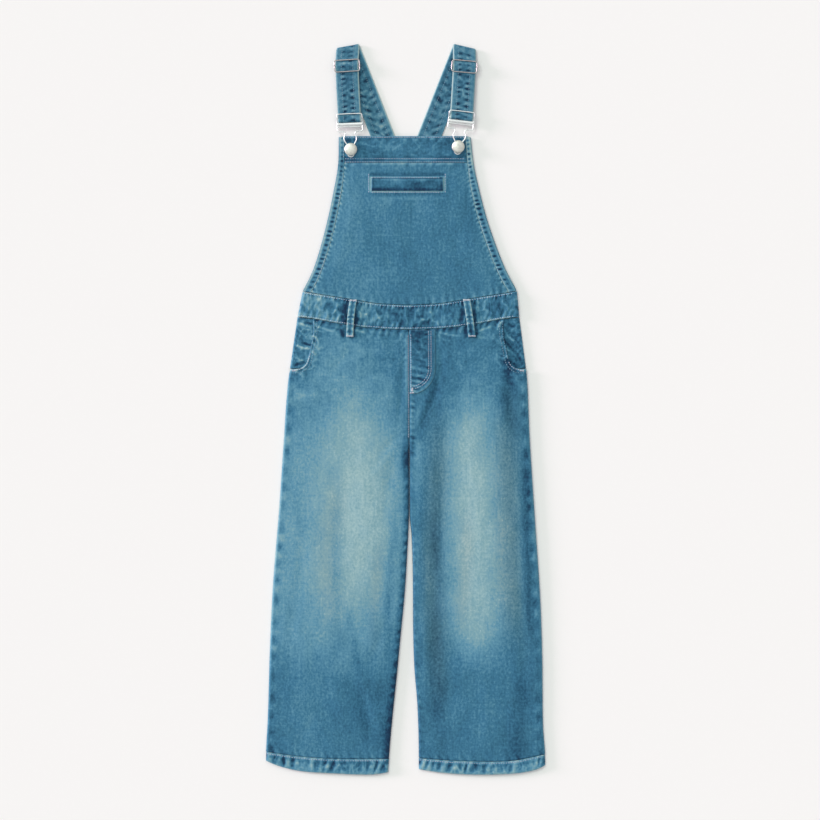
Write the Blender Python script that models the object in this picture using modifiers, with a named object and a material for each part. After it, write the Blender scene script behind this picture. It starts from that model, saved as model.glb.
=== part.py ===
"""Children's denim dungarees, laid flat on their back with the front side up.

The garment's length runs along Y with the shoulder straps towards +Y, its width runs
along X, and it rests on the plane Z = 0.  The origin is under the middle of its box.
Left and right are as seen from the front.  Cloth pieces are walls of real thickness,
SEAM apart where they are sewn to each other; the metal pieces are separate solids.
"""

import math
from bisect import bisect_right

import bmesh
import bpy
from mathutils import Vector

MM = 0.001

# Driving dimensions, all in millimetres.
WALL = 1.2               # one layer of denim
DOUBLE = 2.0             # a turned or faced edge
STRAP = 1.6              # shoulder strap, two fine layers
SEAM = 0.3               # clear space between pieces that are sewn together
STRAP_WIDTH = 29.2
LOOP_WIDTH = 9.5
CENTRE_X = 4.0           # centre front seam
CROTCH_Y = -38.0
SPLIT_Y = -72.0          # below this the legs' inner edges turn fully down
WAIST_HEIGHT = 5.2       # top of the waistband above the surface
LEG_ROLL = 3.0           # how far a turned edge reaches into the panel
BAND_ROLL = 4.0
BACK_INSET = 2.2         # back panels stay inside the turned front edges
HEM_INSET = 1.2          # and further in beside the thicker hems
BAND_INSET = 3.4
YOKE_TOP_Y = 327.0
BAND_FOOT_Y = 312.7      # lower edge of the bib's top band
BIB_TOP_Y = 346.8
TOP_BAND_RISE = 0.1      # top band above the bib's own surface
TOP_BAND_WAVE = 0.12     # its puckers
POCKET_FOOT_Y = 51.0
FACING_HEIGHT = 2.9
HARDWARE_Z = 5.3         # height of the clasp's plane
WIRE = 0.7               # radius of the slider and clasp wire
KEYHOLE_WIRE = 0.9
THICK_BAR = 1.7          # radius of the clasp's lower bar
BUTTON_RADIUS = 8.1

# Side outlines: height up the garment (y) and distance from its middle (x).
OUTSEAM = {
    "left": ((117, -137.2), (72, -143.8), (30, -149.7), (-40, -154.8), (-127, -160.8),
             (-220, -168.3), (-300, -172.2), (-380, -174.6), (-445, -177.3)),
    "right": ((117, 144.4), (72, 150.3), (36, 154.6), (-38, 157.8), (-143, 164.7),
              (-240, 171.1), (-315, 173.7), (-400, 174.6), (-445, 177.3)),
}
INSEAM = {
    "left": ((130, 3.8), (-38, 4.4), (-134, 4.4), (-176, 2.6), (-232, -0.8), (-286, -6.0),
             (-337, -10.8), (-388, -16.2), (-432, -20.0), (-462, -22.0)),
    "right": ((130, 4.2), (-38, 4.9), (-135, 5.1), (-160, 7.4), (-208, 9.0), (-286, 9.6),
              (-330, 11.2), (-374, 14.8), (-417, 16.4), (-462, 16.8)),
}
BIB_EDGE = {
    "left": ((346, -85.0), (310, -85.9), (275, -92.0), (244, -98.5), (209, -107.4),
             (176, -118.0), (150, -130.6)),
    "right": ((346, 82.8), (310, 87.0), (278, 94.0), (244, 102.9), (212, 113.6),
              (180, 126.2), (152, 140.6)),
}
BIB_HEM_WIDTH = ((346, 7.0), (310, 8.0), (275, 10.5), (150, 11.0))

# Waistband edges: distance from the centre front seam, height of the edge.
BAND_LOWER = ((0, 101.0), (30, 101.8), (60, 104.3), (90, 108.9), (118, 114.2), (142, 117.4))
BAND_UPPER = ((0, 132.0), (39, 134.0), (67, 138.4), (98, 143.4), (137, 149.7))
BAND_END = {"left": ((150, -130.8), (117, -137.2)), "right": ((150, 141.6), (117, 144.4))}
BAND_END_Y = (117.0, 150.0)

# Leg hems: share of the leg's width from its left edge, height of the edge.
HEM_EDGE = {
    "left": ((0.0, -446.0), (0.1, -452.6), (0.28, -459.2), (0.57, -462.4), (0.86, -463.9),
             (1.0, -461.0)),
    "right": ((0.0, -457.0), (0.2, -461.7), (0.48, -463.9), (0.76, -462.4), (0.92, -458.0),
              (1.0, -452.0)),
}
HEM_STITCH = {
    "left": ((0.0, -434.6), (0.28, -440.6), (0.57, -443.4), (1.0, -443.6)),
    "right": ((0.0, -442.6), (0.3, -446.0), (0.72, -446.2), (1.0, -438.0)),
}

# Height of a leg's front panel: y, height in its middle, height beside its edges.
LEG_LIFT = ((110, 4.8, 4.5), (40, 5.3, 4.5), (-60, 6.0, 4.4), (-200, 6.3, 4.2),
            (-340, 5.4, 4.0), (-440, 4.3, 3.8))

# Soft folds of the legs: from (x, y) to (x, y), half width, rise (a trough is negative).
LEG_FOLDS = {
    "left": ((-77, -315, -38, -425, 13, -0.9), (-96, -322, -60, -436, 14, 0.6),
             (-128, -120, -146, -330, 12, -0.5), (-14, -62, -34, -150, 12, -0.5)),
    "right": ((31, -60, 34, -420, 12, -0.8), (48, -90, 54, -400, 14, 0.5),
              (143, -110, 150, -400, 11, -0.6)),
}

# Mouth of the scooped pocket: distance in from the side seam's top end, height.
SCOOP = ((19.8, 120.0), (19.8, 94.7), (16.5, 78.4), (14.1, 66.2), (10.6, 57.0),
         (3.2, 51.8), (-9.0, 50.9), (-25.0, 50.9), (-25.0, 120.0))

# Back bib: height, half width about the centre back.
YOKE = ((327, 57.0), (265, 66.0), (215, 83.0), (176, 104.0), (150, 118.0))

YOKE_LEAN = 0.03         # sideways shift of the bibs per unit of height

# Straps: outer and inner ends of the top fold, sideways run of the back part per unit
# of height, slider centre, button centre, and the tilt of slider and clasp in degrees.
STRAPS = {
    "left": {"outer": (-88.7, 458.3), "inner": (-57.9, 464.0), "run": 0.391,
             "slider": (-74.2, 435.3), "slider_tilt": 3.5,
             "button": (-69.4, 329.2), "clasp_tilt": 2.3},
    "right": {"outer": (89.7, 457.1), "inner": (60.4, 464.0), "run": -0.396,
              "slider": (74.6, 434.3), "slider_tilt": -5.0,
              "button": (66.7, 332.6), "clasp_tilt": -6.5},
}
LOOP_BAR_Y = 36.9        # clasp's inner bar above the button's centre
GUIDE_BAR_Y = 44.8       # wire that passes over the strap
CLASP_BAR_Y = 32.2       # clasp's thick lower bar
SIDE_WIRE_END_Y = 31.8   # where both side wires end inside that bar
CLASP_HALF = 16.0        # half width of the clasp's wires
SHOULDER_Y = 22.9        # where the wire turns in below the bar
KEYHOLE_SLOT = 3.9       # half width of the keyhole's narrow end
KEYHOLE_FOOT_Y = -5.4    # where the round of that end starts
SLIDER_SIZE = (31.8, 14.8)
LOOP_ENDS = {"left": ((-66.0, 139.5), (-70.6, 91.2)), "right": ((77.2, 140.0), (84.2, 91.2))}

# Colours: red, green, blue in linear light, then roughness and metallic.
DENIM = ((0.065, 0.21, 0.34), 0.85, 0.0)
DENIM_DARK = ((0.04, 0.15, 0.27), 0.88, 0.0)
DENIM_PALE = ((0.13, 0.29, 0.38), 0.85, 0.0)
NICKEL = ((0.62, 0.61, 0.58), 0.28, 1.0)


def clear_scene():
    """Remove whatever the scene holds."""
    for item in list(bpy.data.objects):
        bpy.data.objects.remove(item, do_unlink=True)


def new_collection(name):
    """Make a collection in the scene."""
    group = bpy.data.collections.new(name)
    bpy.context.scene.collection.children.link(group)
    return group


def smooth(share):
    """Ease from 0 to 1."""
    share = min(max(share, 0.0), 1.0)
    return share * share * (3.0 - 2.0 * share)


def mix(low, high, share):
    """Straight blend between two numbers."""
    return low + (high - low) * share


def along(rows, at, column=1):
    """Value at a key on the smooth curve through rows of (key, value, ...)."""
    rows = sorted(rows)
    keys = [row[0] for row in rows]
    values = [row[column] for row in rows]
    last = len(rows) - 1
    at = min(max(at, keys[0]), keys[last])
    start = min(max(bisect_right(keys, at) - 1, 0), last - 1)

    def slope(index):
        low = max(index - 1, 0)
        high = min(index + 1, last)
        return (values[high] - values[low]) / (keys[high] - keys[low])

    span = keys[start + 1] - keys[start]
    t = (at - keys[start]) / span
    return ((2 * t ** 3 - 3 * t ** 2 + 1) * values[start]
            + (t ** 3 - 2 * t ** 2 + t) * span * slope(start)
            + (3 * t ** 2 - 2 * t ** 3) * values[start + 1]
            + (t ** 3 - t ** 2) * span * slope(start + 1))


def ripple(distance, spacing, phase):
    """Uneven waves, between -1 and 1, about one spacing apart."""
    turn = 2.0 * math.pi * distance / spacing
    wander = 0.9 * math.sin(turn * 0.23 + phase)
    return math.sin(turn + wander + phase) * (0.72 + 0.28 * math.sin(turn * 0.37 + 2.1 * phase))


def material(name, finish):
    """A Principled material with a colour, a roughness and a metallic value."""
    colour, roughness, metallic = finish
    surface = bpy.data.materials.new(name)
    surface.use_nodes = True
    shader = surface.node_tree.nodes["Principled BSDF"]
    shader.inputs["Base Color"].default_value = (*colour, 1.0)
    shader.inputs["Roughness"].default_value = roughness
    shader.inputs["Metallic"].default_value = metallic
    return surface


def add_object(name, mesh, finish, group, parent):
    """Put a mesh in the scene as one named piece."""
    piece = bpy.data.objects.new(name, mesh)
    group.objects.link(piece)
    piece.parent = parent
    if finish is not None:
        mesh.materials.append(material(name, finish))
    return piece


def cloth(name, columns, rows, place, thickness, finish, offset=-1.0):
    """A grid bent by place(column, row) into a cloth wall of a given thickness."""
    grid = bmesh.new()
    bmesh.ops.create_grid(grid, x_segments=columns, y_segments=rows, size=0.5)
    for vertex in grid.verts:
        column = round((vertex.co.x + 0.5) * columns)
        row = round((vertex.co.y + 0.5) * rows)
        vertex.co = Vector(place(column, row)) * MM
    mesh = bpy.data.meshes.new(name)
    grid.to_mesh(mesh)
    grid.free()
    mesh.shade_smooth()
    piece = add_object(name, mesh, finish, PARTS, GARMENT)
    wall = piece.modifiers.new("Cloth", "SOLIDIFY")
    wall.thickness = thickness * MM
    wall.offset = offset
    wall.use_even_offset = True
    return piece


# A turned edge, from the surface up to the panel: share of its reach, share of its height.
TURNED = ((0.0, 0.0), (0.0, 0.35), (0.22, 0.78), (0.6, 0.96), (1.0, 1.0))
# A seam that only dips, on the same steps.
DIPPED = ((0.0, 0.0), (0.15, 0.35), (0.4, 0.7), (0.7, 0.93), (1.0, 1.0))
EDGE_STEPS = len(TURNED) - 1


def edge_profile(step, turned):
    """Reach and height shares at a step of an edge; turned is 1 for a full turn."""
    reach = mix(DIPPED[step][0], TURNED[step][0], turned)
    height = mix(DIPPED[step][1], TURNED[step][1], turned)
    return reach, height


def across(column, columns, width, roll, turned_left, turned_right):
    """Distance from the left edge, and share of height, at a column with shaped edges."""
    if column <= EDGE_STEPS:
        reach, height = edge_profile(column, turned_left)
        return reach * roll, height
    if column >= columns - EDGE_STEPS:
        reach, height = edge_profile(columns - column, turned_right)
        return width - reach * roll, height
    inner = columns - 2 * EDGE_STEPS
    share = (column - EDGE_STEPS) / inner
    return mix(roll, width - roll, share), 1.0


def band_lower(x):
    """Height of the waistband's lower edge."""
    return along(BAND_LOWER, abs(x - CENTRE_X))


def band_upper(x):
    """Height of the waistband's upper edge."""
    return along(BAND_UPPER, abs(x - CENTRE_X))


def meet(edge, line, start):
    """Height where a column's line of x over y meets a curved edge."""
    y = start
    for _ in range(8):
        y = edge(line(y))
    return y


def leg_edges(side, y):
    """Left and right edge of a leg's front at a height, less half the centre seam."""
    if side == "left":
        return along(OUTSEAM[side], y), along(INSEAM[side], y) - SEAM / 2
    return along(INSEAM[side], y) + SEAM / 2, along(OUTSEAM[side], y)


def fold_rise(side, x, y):
    """Rise or fall of a leg's soft folds at a point."""
    rise = 0.0
    for x0, y0, x1, y1, half_width, height in LEG_FOLDS[side]:
        run = Vector((x1 - x0, y1 - y0))
        reach = Vector((x - x0, y - y0))
        share = reach.dot(run) / run.length_squared
        aside = abs(reach.cross(run)) / run.length
        ends = smooth(share / 0.3) * smooth((1.0 - share) / 0.3)
        rise += height * ends * smooth(1.0 - aside / half_width)
    return rise


def leg_lift(side, x, y):
    """Height of a leg's front panel away from its turned edges."""
    left, right = leg_edges(side, y)
    share = min(max((x - left) / (right - left), 0.0), 1.0)
    middle = along(LEG_LIFT, y, 1)
    beside = along(LEG_LIFT, y, 2)
    return mix(beside, middle, math.sin(math.pi * share) ** 0.8) + fold_rise(side, x, y)


def inner_turn(y):
    """How far a leg's inner edge is turned down: 0 above the crotch, 1 where legs part."""
    return smooth((CROTCH_Y - y) / (CROTCH_Y - SPLIT_Y))


def leg_point(side, column, columns, y, lift, roll=LEG_ROLL):
    """Point of a leg's front at a column and height, with its edges turned or dipped."""
    left, right = leg_edges(side, y)
    inner = inner_turn(y)
    turned = (1.0, inner) if side == "left" else (inner, 1.0)
    distance, height = across(column, columns, right - left, roll, *turned)
    x = left + distance
    top = lift(side, x, y)
    on_left = column < columns / 2
    turn = turned[0] if on_left else turned[1]
    drop = mix(1.0, top, turn) * (1.0 - height)
    return x, y, top - drop


def leg_share(side, column, columns):
    """Share of the leg's width at a column, for its curved ends."""
    left, right = leg_edges(side, -100.0)
    distance, _ = across(column, columns, right - left, LEG_ROLL, 1.0, 1.0)
    return distance / (right - left)


def leg_top(side, share):
    """Height of the waistband's lower edge at a share of the leg's width."""
    return meet(band_lower, lambda y: mix(*leg_edges(side, y), share), 108.0)


def front_leg(side):
    """Front leg panel, from the waistband to the hem's stitch line, with a scooped pocket."""
    columns, rows = 18, 23

    def place(column, row):
        share = leg_share(side, column, columns)
        top = leg_top(side, share) - SEAM
        foot = along(HEM_STITCH[side], share) + SEAM
        return leg_point(side, column, columns, mix(foot, top, row / rows), leg_lift)

    piece = cloth(f"front_leg_{side}", columns, rows, place, WALL, DENIM)
    cut = piece.modifiers.new("Pocket mouth", "BOOLEAN")
    cut.object = pocket_cutter(side)
    cut.operation = "DIFFERENCE"
    return piece


def scoop_points(side):
    """The pocket mouth's outline at real places."""
    corner = OUTSEAM[side][0][1]
    inward = 1.0 if side == "left" else -1.0
    return [(corner + inward * x, y) for x, y in SCOOP]


def pocket_cutter(side):
    """Upright prism that cuts the pocket's mouth out of the front leg."""
    outline = scoop_points(side)
    foot, tall = -5.0, 20.0
    prism = bmesh.new()
    base = [prism.verts.new(Vector((x, y, foot)) * MM) for x, y in outline]
    face = prism.faces.new(base)
    top = bmesh.ops.extrude_face_region(prism, geom=[face])["geom"]
    raised = [item for item in top if isinstance(item, bmesh.types.BMVert)]
    bmesh.ops.translate(prism, verts=raised, vec=Vector((0.0, 0.0, tall)) * MM)
    bmesh.ops.recalc_face_normals(prism, faces=prism.faces)
    mesh = bpy.data.meshes.new(f"pocket_cut_{side}")
    prism.to_mesh(mesh)
    prism.free()
    cutter = add_object(f"pocket_cut_{side}", mesh, None, CUTTERS, GARMENT)
    cutter.hide_render = True
    cutter.display_type = "WIRE"
    return cutter


def pocket_facing(side):
    """Cloth seen inside the scooped pocket, running on under the front panel."""
    columns, rows = 10, 9
    overlap = 5.0
    mouth = sorted((y, x) for x, y in SCOOP[1:6])

    def place(column, row):
        step = column if side == "left" else columns - column
        if step <= EDGE_STEPS:
            reach, height = edge_profile(step, 1.0)
            share = 0.0
        else:
            reach, height = 1.0, 1.0
            share = (step - EDGE_STEPS) / (columns - EDGE_STEPS)

        def line(y):
            edge = along(OUTSEAM[side], y)
            width = abs(OUTSEAM[side][0][1] - edge) + along(mouth, y) + overlap
            distance = mix(reach * LEG_ROLL, width, share)
            return edge + distance if side == "left" else edge - distance

        top = meet(band_lower, line, 112.0) - SEAM - 0.3
        y = mix(POCKET_FOOT_Y + 0.9, top, row / rows)
        x = line(y)
        distance = abs(x - along(OUTSEAM[side], y))
        crease = 0.25 * ripple(y + 0.6 * distance, 9.0, 1.3) * smooth(distance / 6.0)
        return x, y, FACING_HEIGHT * height + min(crease, 0.1) * height

    return cloth(f"pocket_facing_{side}", columns, rows, place, WALL, DENIM_DARK)


def leg_hem(side):
    """Turned hem of a leg's front, roped by its stitching."""
    columns, rows = 46, 3
    slant = 0.55
    spacing = 11.0

    def place(column, row):
        share = leg_share(side, column, columns)
        top = along(HEM_STITCH[side], share) - SEAM
        foot = along(HEM_EDGE[side], share)
        y = mix(foot, top, row / rows)

        def lift(_, x, height):
            wave = 0.28 * ripple(x + slant * height, spacing, 0.7)
            return leg_lift(side, x, height) + 0.45 + wave * (0.4 + 0.6 * row / rows)

        return leg_point(side, column, columns, y, lift, LEG_ROLL + 0.6)

    return cloth(f"leg_hem_{side}", columns, rows, place, DOUBLE, DENIM_PALE)


def back_leg(side):
    """Back leg panel, lying flat from the waistband to the hem."""
    columns, rows = 10, 8

    def place(column, row):
        share = column / columns

        def line(y):
            left, right = leg_edges(side, y)
            outer = BACK_INSET + HEM_INSET * smooth((-412.0 - y) / 16.0)
            inner = outer * smooth((-8.0 - y) / 30.0)
            if side == "left":
                return mix(left + outer, right - inner, share)
            return mix(left + inner, right - outer, share)

        top = meet(band_lower, line, 108.0) - SEAM
        foot = along(HEM_EDGE[side], 0.03 + 0.94 * share) + 0.6
        y = mix(foot, top, row / rows)
        return line(y), y, WALL

    return cloth(f"back_leg_{side}", columns, rows, place, WALL, DENIM)


def waist_lift(x, y):
    """Height of the waistband without its puckers."""
    middle = 0.5 * (band_lower(x) + band_upper(x))
    return WAIST_HEIGHT - 0.02 * abs(y - middle)


def waistband(name, inset, finish):
    """Waistband: a puckered front with turned ends, or a plain flat back."""
    front = inset == 0.0
    columns, rows = (76, 3) if front else (14, 1)

    def place(column, row):
        up = row / rows
        end_y = mix(*BAND_END_Y, up)
        left = along(BAND_END["left"], end_y) + inset
        right = along(BAND_END["right"], end_y) - inset
        if front:
            distance, height = across(column, columns, right - left, BAND_ROLL, 1.0, 1.0)
        else:
            distance, height = (right - left) * column / columns, 1.0
        x = left + distance
        y = mix(band_lower(x), band_upper(x), up)
        if not front:
            return x, y, DOUBLE
        bump = 0.32 * ripple(x, 10.5, 0.4) * math.sin(math.pi * (0.15 + 0.7 * up))
        return x, y, (waist_lift(x, y) + bump) * height

    return cloth(name, columns, rows, place, DOUBLE, finish)


def back_bib():
    """Back bib, flat under the front one, with the straps sewn to its top."""
    columns, rows = 10, 5

    def place(column, row):
        share = column / columns

        def line(y):
            half = along(YOKE, y)
            return mix(-half, half, share) + YOKE_LEAN * (300.0 - y)

        foot = meet(band_upper, line, 140.0) + SEAM
        y = mix(foot, YOKE_TOP_Y - SEAM, row / rows)
        return line(y), y, WALL

    return cloth("back_bib", columns, rows, place, WALL, DENIM)


def hem_width(side, y):
    """Sideways width of the bib's side hem where its edge slants."""
    slope = (along(BIB_EDGE[side], y + 4.0) - along(BIB_EDGE[side], y - 4.0)) / 8.0
    return along(BIB_HEM_WIDTH, y) * math.hypot(1.0, slope)


def bib_lift(x, y):
    """Height of the bib: low at its free sides, higher over the back bib and the waist."""
    aside = min(x - along(BIB_EDGE["left"], y), along(BIB_EDGE["right"], y) - x)
    return 2.6 + 1.5 * smooth(aside / 30.0) + 0.7 * smooth((215.0 - y) / 65.0)


def bib_panel_edges(y):
    """Left and right edge of the bib's panel, inside its side hems."""
    left = along(BIB_EDGE["left"], y) + hem_width("left", y) + SEAM
    right = along(BIB_EDGE["right"], y) - hem_width("right", y) - SEAM
    return left, right


def hem_line(side, share, y):
    """Place across the bib's side hem, from its free edge to the panel."""
    inward = 1.0 if side == "left" else -1.0
    return along(BIB_EDGE[side], y) + inward * share * hem_width(side, y)


def bib():
    """Bib panel between its hems, from the waistband to the top band."""
    columns, rows = 12, 12

    def place(column, row):
        share = column / columns

        def line(y):
            return mix(*bib_panel_edges(y), share)

        foot = meet(band_upper, line, 140.0) + SEAM
        y = mix(foot, BAND_FOOT_Y - SEAM, row / rows)
        x = line(y)
        return x, y, bib_lift(x, y)

    return cloth("bib", columns, rows, place, WALL, DENIM)


def bib_top_band():
    """Folded band along the bib's top, between the side hems."""
    columns, rows = 24, 3

    def place(column, row):
        y = mix(BAND_FOOT_Y, BIB_TOP_Y, row / rows)
        x = mix(*bib_panel_edges(y), column / columns)
        wave = TOP_BAND_WAVE * ripple(x, 13.0, 2.2) * (1.0 - row / rows)
        return x, y, bib_lift(x, y) + TOP_BAND_RISE + wave

    return cloth("bib_top_band", columns, rows, place, DOUBLE, DENIM_DARK)


def bib_hem(side):
    """Turned side edge of the bib, puckered along its stitching."""
    columns, rows = 1, 84

    def place(column, row):
        share = column / columns if side == "left" else 1.0 - column / columns
        foot = meet(band_upper, lambda y: hem_line(side, share, y), 148.0) + SEAM
        y = mix(foot, BIB_TOP_Y - 1.6 * (1.0 - share), row / rows)
        x = hem_line(side, share, y)
        fade = smooth((BIB_TOP_Y - y) / 20.0)
        bump = 0.25 * ripple(y, 7.2, 0.5 + share) * fade * math.sin(math.pi * (0.2 + 0.6 * share))
        return x, y, bib_lift(x, y) + 0.25 + bump

    return cloth(f"bib_hem_{side}", columns, rows, place, DOUBLE, DENIM_PALE)


def bib_welt():
    """Welt of the bib's pocket, lying on the panel."""
    columns, rows = 10, 2
    low, high = (-43.5, 276.6), (48.0, 294.6)

    def place(column, row):
        x = mix(low[0], high[0], column / columns)
        y = mix(low[1], high[1], row / rows)
        return x, y, bib_lift(x, y) + SEAM + 0.1 + WALL

    return cloth("bib_welt", columns, rows, place, WALL, DENIM_DARK)


def fly():
    """Mock fly on the right leg, its outer edge curving into the centre seam as a J."""
    columns, rows = 6, 14
    width = 32.5
    straight_foot, foot = 52.0, 20.0

    def place(column, row):
        top = band_lower(CENTRE_X + 16.0) - SEAM - 0.8
        y = mix(foot, top, row / rows)
        bend = max(straight_foot - y, 0.0) / (straight_foot - foot)
        reach = width * math.sqrt(max(1.0 - (bend * 0.97) ** 2, 0.0))
        start = along(INSEAM["right"], y) + 1.2
        x = start + reach * column / columns
        return x, y, leg_lift("right", x, y) + SEAM + 0.15 + WALL

    return cloth("fly", columns, rows, place, WALL, DENIM)


def belt_loop(side):
    """Belt loop sewn over the waistband, from its top edge to the top of the leg."""
    columns, rows = 2, 14
    (top_x, top_y), (foot_x, foot_y) = LOOP_ENDS[side]
    thickness = 1.5

    def place(column, row):
        up = row / rows
        x = mix(foot_x, top_x, up) + (column / columns - 0.5) * LOOP_WIDTH
        y = mix(foot_y, top_y, up)
        on_leg = leg_lift(side, x, y) + 0.5
        on_band = waist_lift(x, y) + 0.85
        crown = 0.5 * math.sin(math.pi * up)
        share = smooth((y - (band_lower(x) - 6.0)) / 5.0)
        return x, y, mix(on_leg, on_band, share) + crown + thickness

    return cloth(f"belt_loop_{side}", columns, rows, place, thickness, DENIM_DARK)


# Front part of a strap: height of its mid layer at places along it.
FOLD_RADIUS = (STRAP + SEAM) / 2
BACK_MID = STRAP / 2
FRONT_NEAR_FOLD = BACK_MID + 2 * FOLD_RADIUS
RETURN_MID = STRAP + SEAM + STRAP / 2
FRONT_MID = RETURN_MID + STRAP + SEAM
SLIDER_BAR_Z = STRAP + SEAM + STRAP + SEAM + WIRE
OVER_SLIDER = SLIDER_BAR_Z + WIRE + SEAM + STRAP / 2
LOOP_RADIUS = WIRE + SEAM + STRAP / 2
OVER_LOOP = HARDWARE_Z + LOOP_RADIUS


def loop_bar_centre(side):
    """Middle of the clasp's inner bar."""
    row = STRAPS[side]
    tilt = math.radians(row["clasp_tilt"])
    x, y = row["button"]
    return x - LOOP_BAR_Y * math.sin(tilt), y + LOOP_BAR_Y * math.cos(tilt)


def strap_stations(side):
    """Rows of a strap: centre x, y, height, and tilt, from the back bib to its sewn end."""
    row = STRAPS[side]
    outer, inner = Vector(row["outer"]), Vector(row["inner"])
    ends = (outer, inner) if side == "left" else (inner, outer)
    fold = ends[1] - ends[0]
    fold_tilt = math.atan2(fold.y, fold.x)
    upward = Vector((-math.sin(fold_tilt), math.cos(fold_tilt)))
    axis = (outer + inner) / 2 - upward * (FOLD_RADIUS + STRAP / 2)
    slider = Vector(row["slider"])
    slider_tilt = math.radians(row["slider_tilt"])
    bar = Vector(loop_bar_centre(side))
    clasp_tilt = math.radians(row["clasp_tilt"])
    stations = []

    back_rows = 14
    foot_y = YOKE_TOP_Y + SEAM
    for step in range(back_rows):
        share = step / back_rows
        y = mix(foot_y, axis.y, share)
        x = axis.x + (axis.y - y) * row["run"]
        stations.append((x, y, BACK_MID, fold_tilt * smooth(share * 1.6)))

    fold_rows = 6
    for step in range(fold_rows + 1):
        angle = math.pi * (step / fold_rows - 0.5)
        place = axis + upward * FOLD_RADIUS * math.cos(angle)
        height = BACK_MID + FOLD_RADIUS * (1.0 + math.sin(angle))
        stations.append((place.x, place.y, height, fold_tilt))

    under_guide = bar.y + GUIDE_BAR_Y - LOOP_BAR_Y
    heights = ((bar.y, OVER_LOOP), (under_guide, FRONT_MID + 0.95),
               (bar.y + 17.0, FRONT_MID + 0.65), (bar.y + 34.0, FRONT_MID + 0.2),
               (slider.y - 16.0, FRONT_MID), (slider.y - 7.6, FRONT_MID + 0.05),
               (slider.y, OVER_SLIDER), (slider.y + 7.6, FRONT_MID - 0.2),
               (slider.y + 16.0, FRONT_NEAR_FOLD + 0.5), (axis.y, FRONT_NEAR_FOLD))
    tilts = ((bar.y, clasp_tilt), (slider.y, slider_tilt), (axis.y, fold_tilt))
    middles = ((bar.y, bar.x), (slider.y, slider.x), (axis.y, axis.x))
    front_rows = 30
    for step in range(1, front_rows):
        y = mix(axis.y, bar.y, step / front_rows)
        stations.append((along(middles, y), y, along(heights, y), along(tilts, y)))

    loop_rows = 7
    downward = Vector((math.sin(clasp_tilt), -math.cos(clasp_tilt)))
    for step in range(loop_rows + 1):
        angle = math.pi * step / loop_rows
        place = bar + downward * LOOP_RADIUS * math.sin(angle)
        stations.append((place.x, place.y, HARDWARE_Z + LOOP_RADIUS * math.cos(angle), clasp_tilt))

    under = HARDWARE_Z - LOOP_RADIUS
    end_rows = 8
    for step in range(1, end_rows + 1):
        share = step / end_rows
        y = mix(bar.y, slider.y + 3.0, share)
        height = mix(under, RETURN_MID, smooth(share * 1.5))
        stations.append((along(middles, y), y, height, along(tilts, y)))
    return stations


def strap(side):
    """Shoulder strap: up from the back bib, folded over, down to the clasp and back."""
    stations = strap_stations(side)
    columns, rows = 2, len(stations) - 1

    def place(column, row):
        x, y, height, tilt = stations[row]
        before = stations[max(row - 1, 0)]
        after = stations[min(row + 1, rows)]
        run_x, run_y = after[0] - before[0], after[1] - before[1]
        square = math.atan(-run_x / run_y) if abs(run_y) > 1.5 else tilt
        half = STRAP_WIDTH / 2 / max(math.cos(tilt - square), 0.9)
        reach = (column / columns - 0.5) * 2.0 * half
        return x + reach * math.cos(tilt), y + reach * math.sin(tilt), height

    return cloth(f"strap_{side}", columns, rows, place, STRAP, DENIM_DARK, offset=0.0)


def wire(name, points, radius, closed, group):
    """A round wire through points in millimetres, as a closed mesh."""
    line = bpy.data.curves.new(name, "CURVE")
    line.dimensions = "3D"
    line.bevel_depth = radius * MM
    line.bevel_resolution = 2
    line.use_fill_caps = not closed
    spline = line.splines.new("POLY")
    spline.points.add(len(points) - 1)
    for point, place in zip(spline.points, points):
        point.co = (*(Vector(place) * MM), 1.0)
    spline.use_cyclic_u = closed
    return mesh_from_curve(name, line, group)


def mesh_from_curve(name, line, group):
    """The curve's closed mesh, as an object of its own."""
    curve_object = bpy.data.objects.new(name + "_curve", line)
    group.objects.link(curve_object)
    bpy.context.view_layer.update()
    shape = curve_object.evaluated_get(bpy.context.evaluated_depsgraph_get())
    mesh = bpy.data.meshes.new_from_object(shape)
    mesh.name = name
    bpy.data.objects.remove(curve_object, do_unlink=True)
    tidy = bmesh.new()
    tidy.from_mesh(mesh)
    bmesh.ops.remove_doubles(tidy, verts=tidy.verts, dist=0.00001)
    bmesh.ops.recalc_face_normals(tidy, faces=tidy.faces)
    tidy.to_mesh(mesh)
    tidy.free()
    mesh.materials.clear()
    return mesh


def rounded_box(half_x, half_y, radius, steps=4):
    """Corner-rounded rectangle about the origin, anticlockwise, in millimetres."""
    points = []
    corners = ((1, 1, 0), (-1, 1, 90), (-1, -1, 180), (1, -1, 270))
    for sign_x, sign_y, start in corners:
        for step in range(steps + 1):
            angle = math.radians(start + 90.0 * step / steps)
            points.append((sign_x * (half_x - radius) + radius * math.cos(angle),
                           sign_y * (half_y - radius) + radius * math.sin(angle)))
    return points


def join(piece, mesh, parent):
    """Unite a hidden tool shape with a piece."""
    tool = add_object(f"{piece.name}_join_{len(piece.modifiers)}", mesh, None, CUTTERS, parent)
    tool.location = piece.location
    tool.rotation_euler = piece.rotation_euler
    tool.hide_render = True
    tool.display_type = "WIRE"
    union = piece.modifiers.new("Join", "BOOLEAN")
    union.object = tool
    union.operation = "UNION"


def finish_metal(piece):
    """Smooth the round faces and keep the sharp ones."""
    piece.data.shade_smooth()
    piece.data.set_sharp_from_angle(angle=math.radians(40.0))


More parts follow.
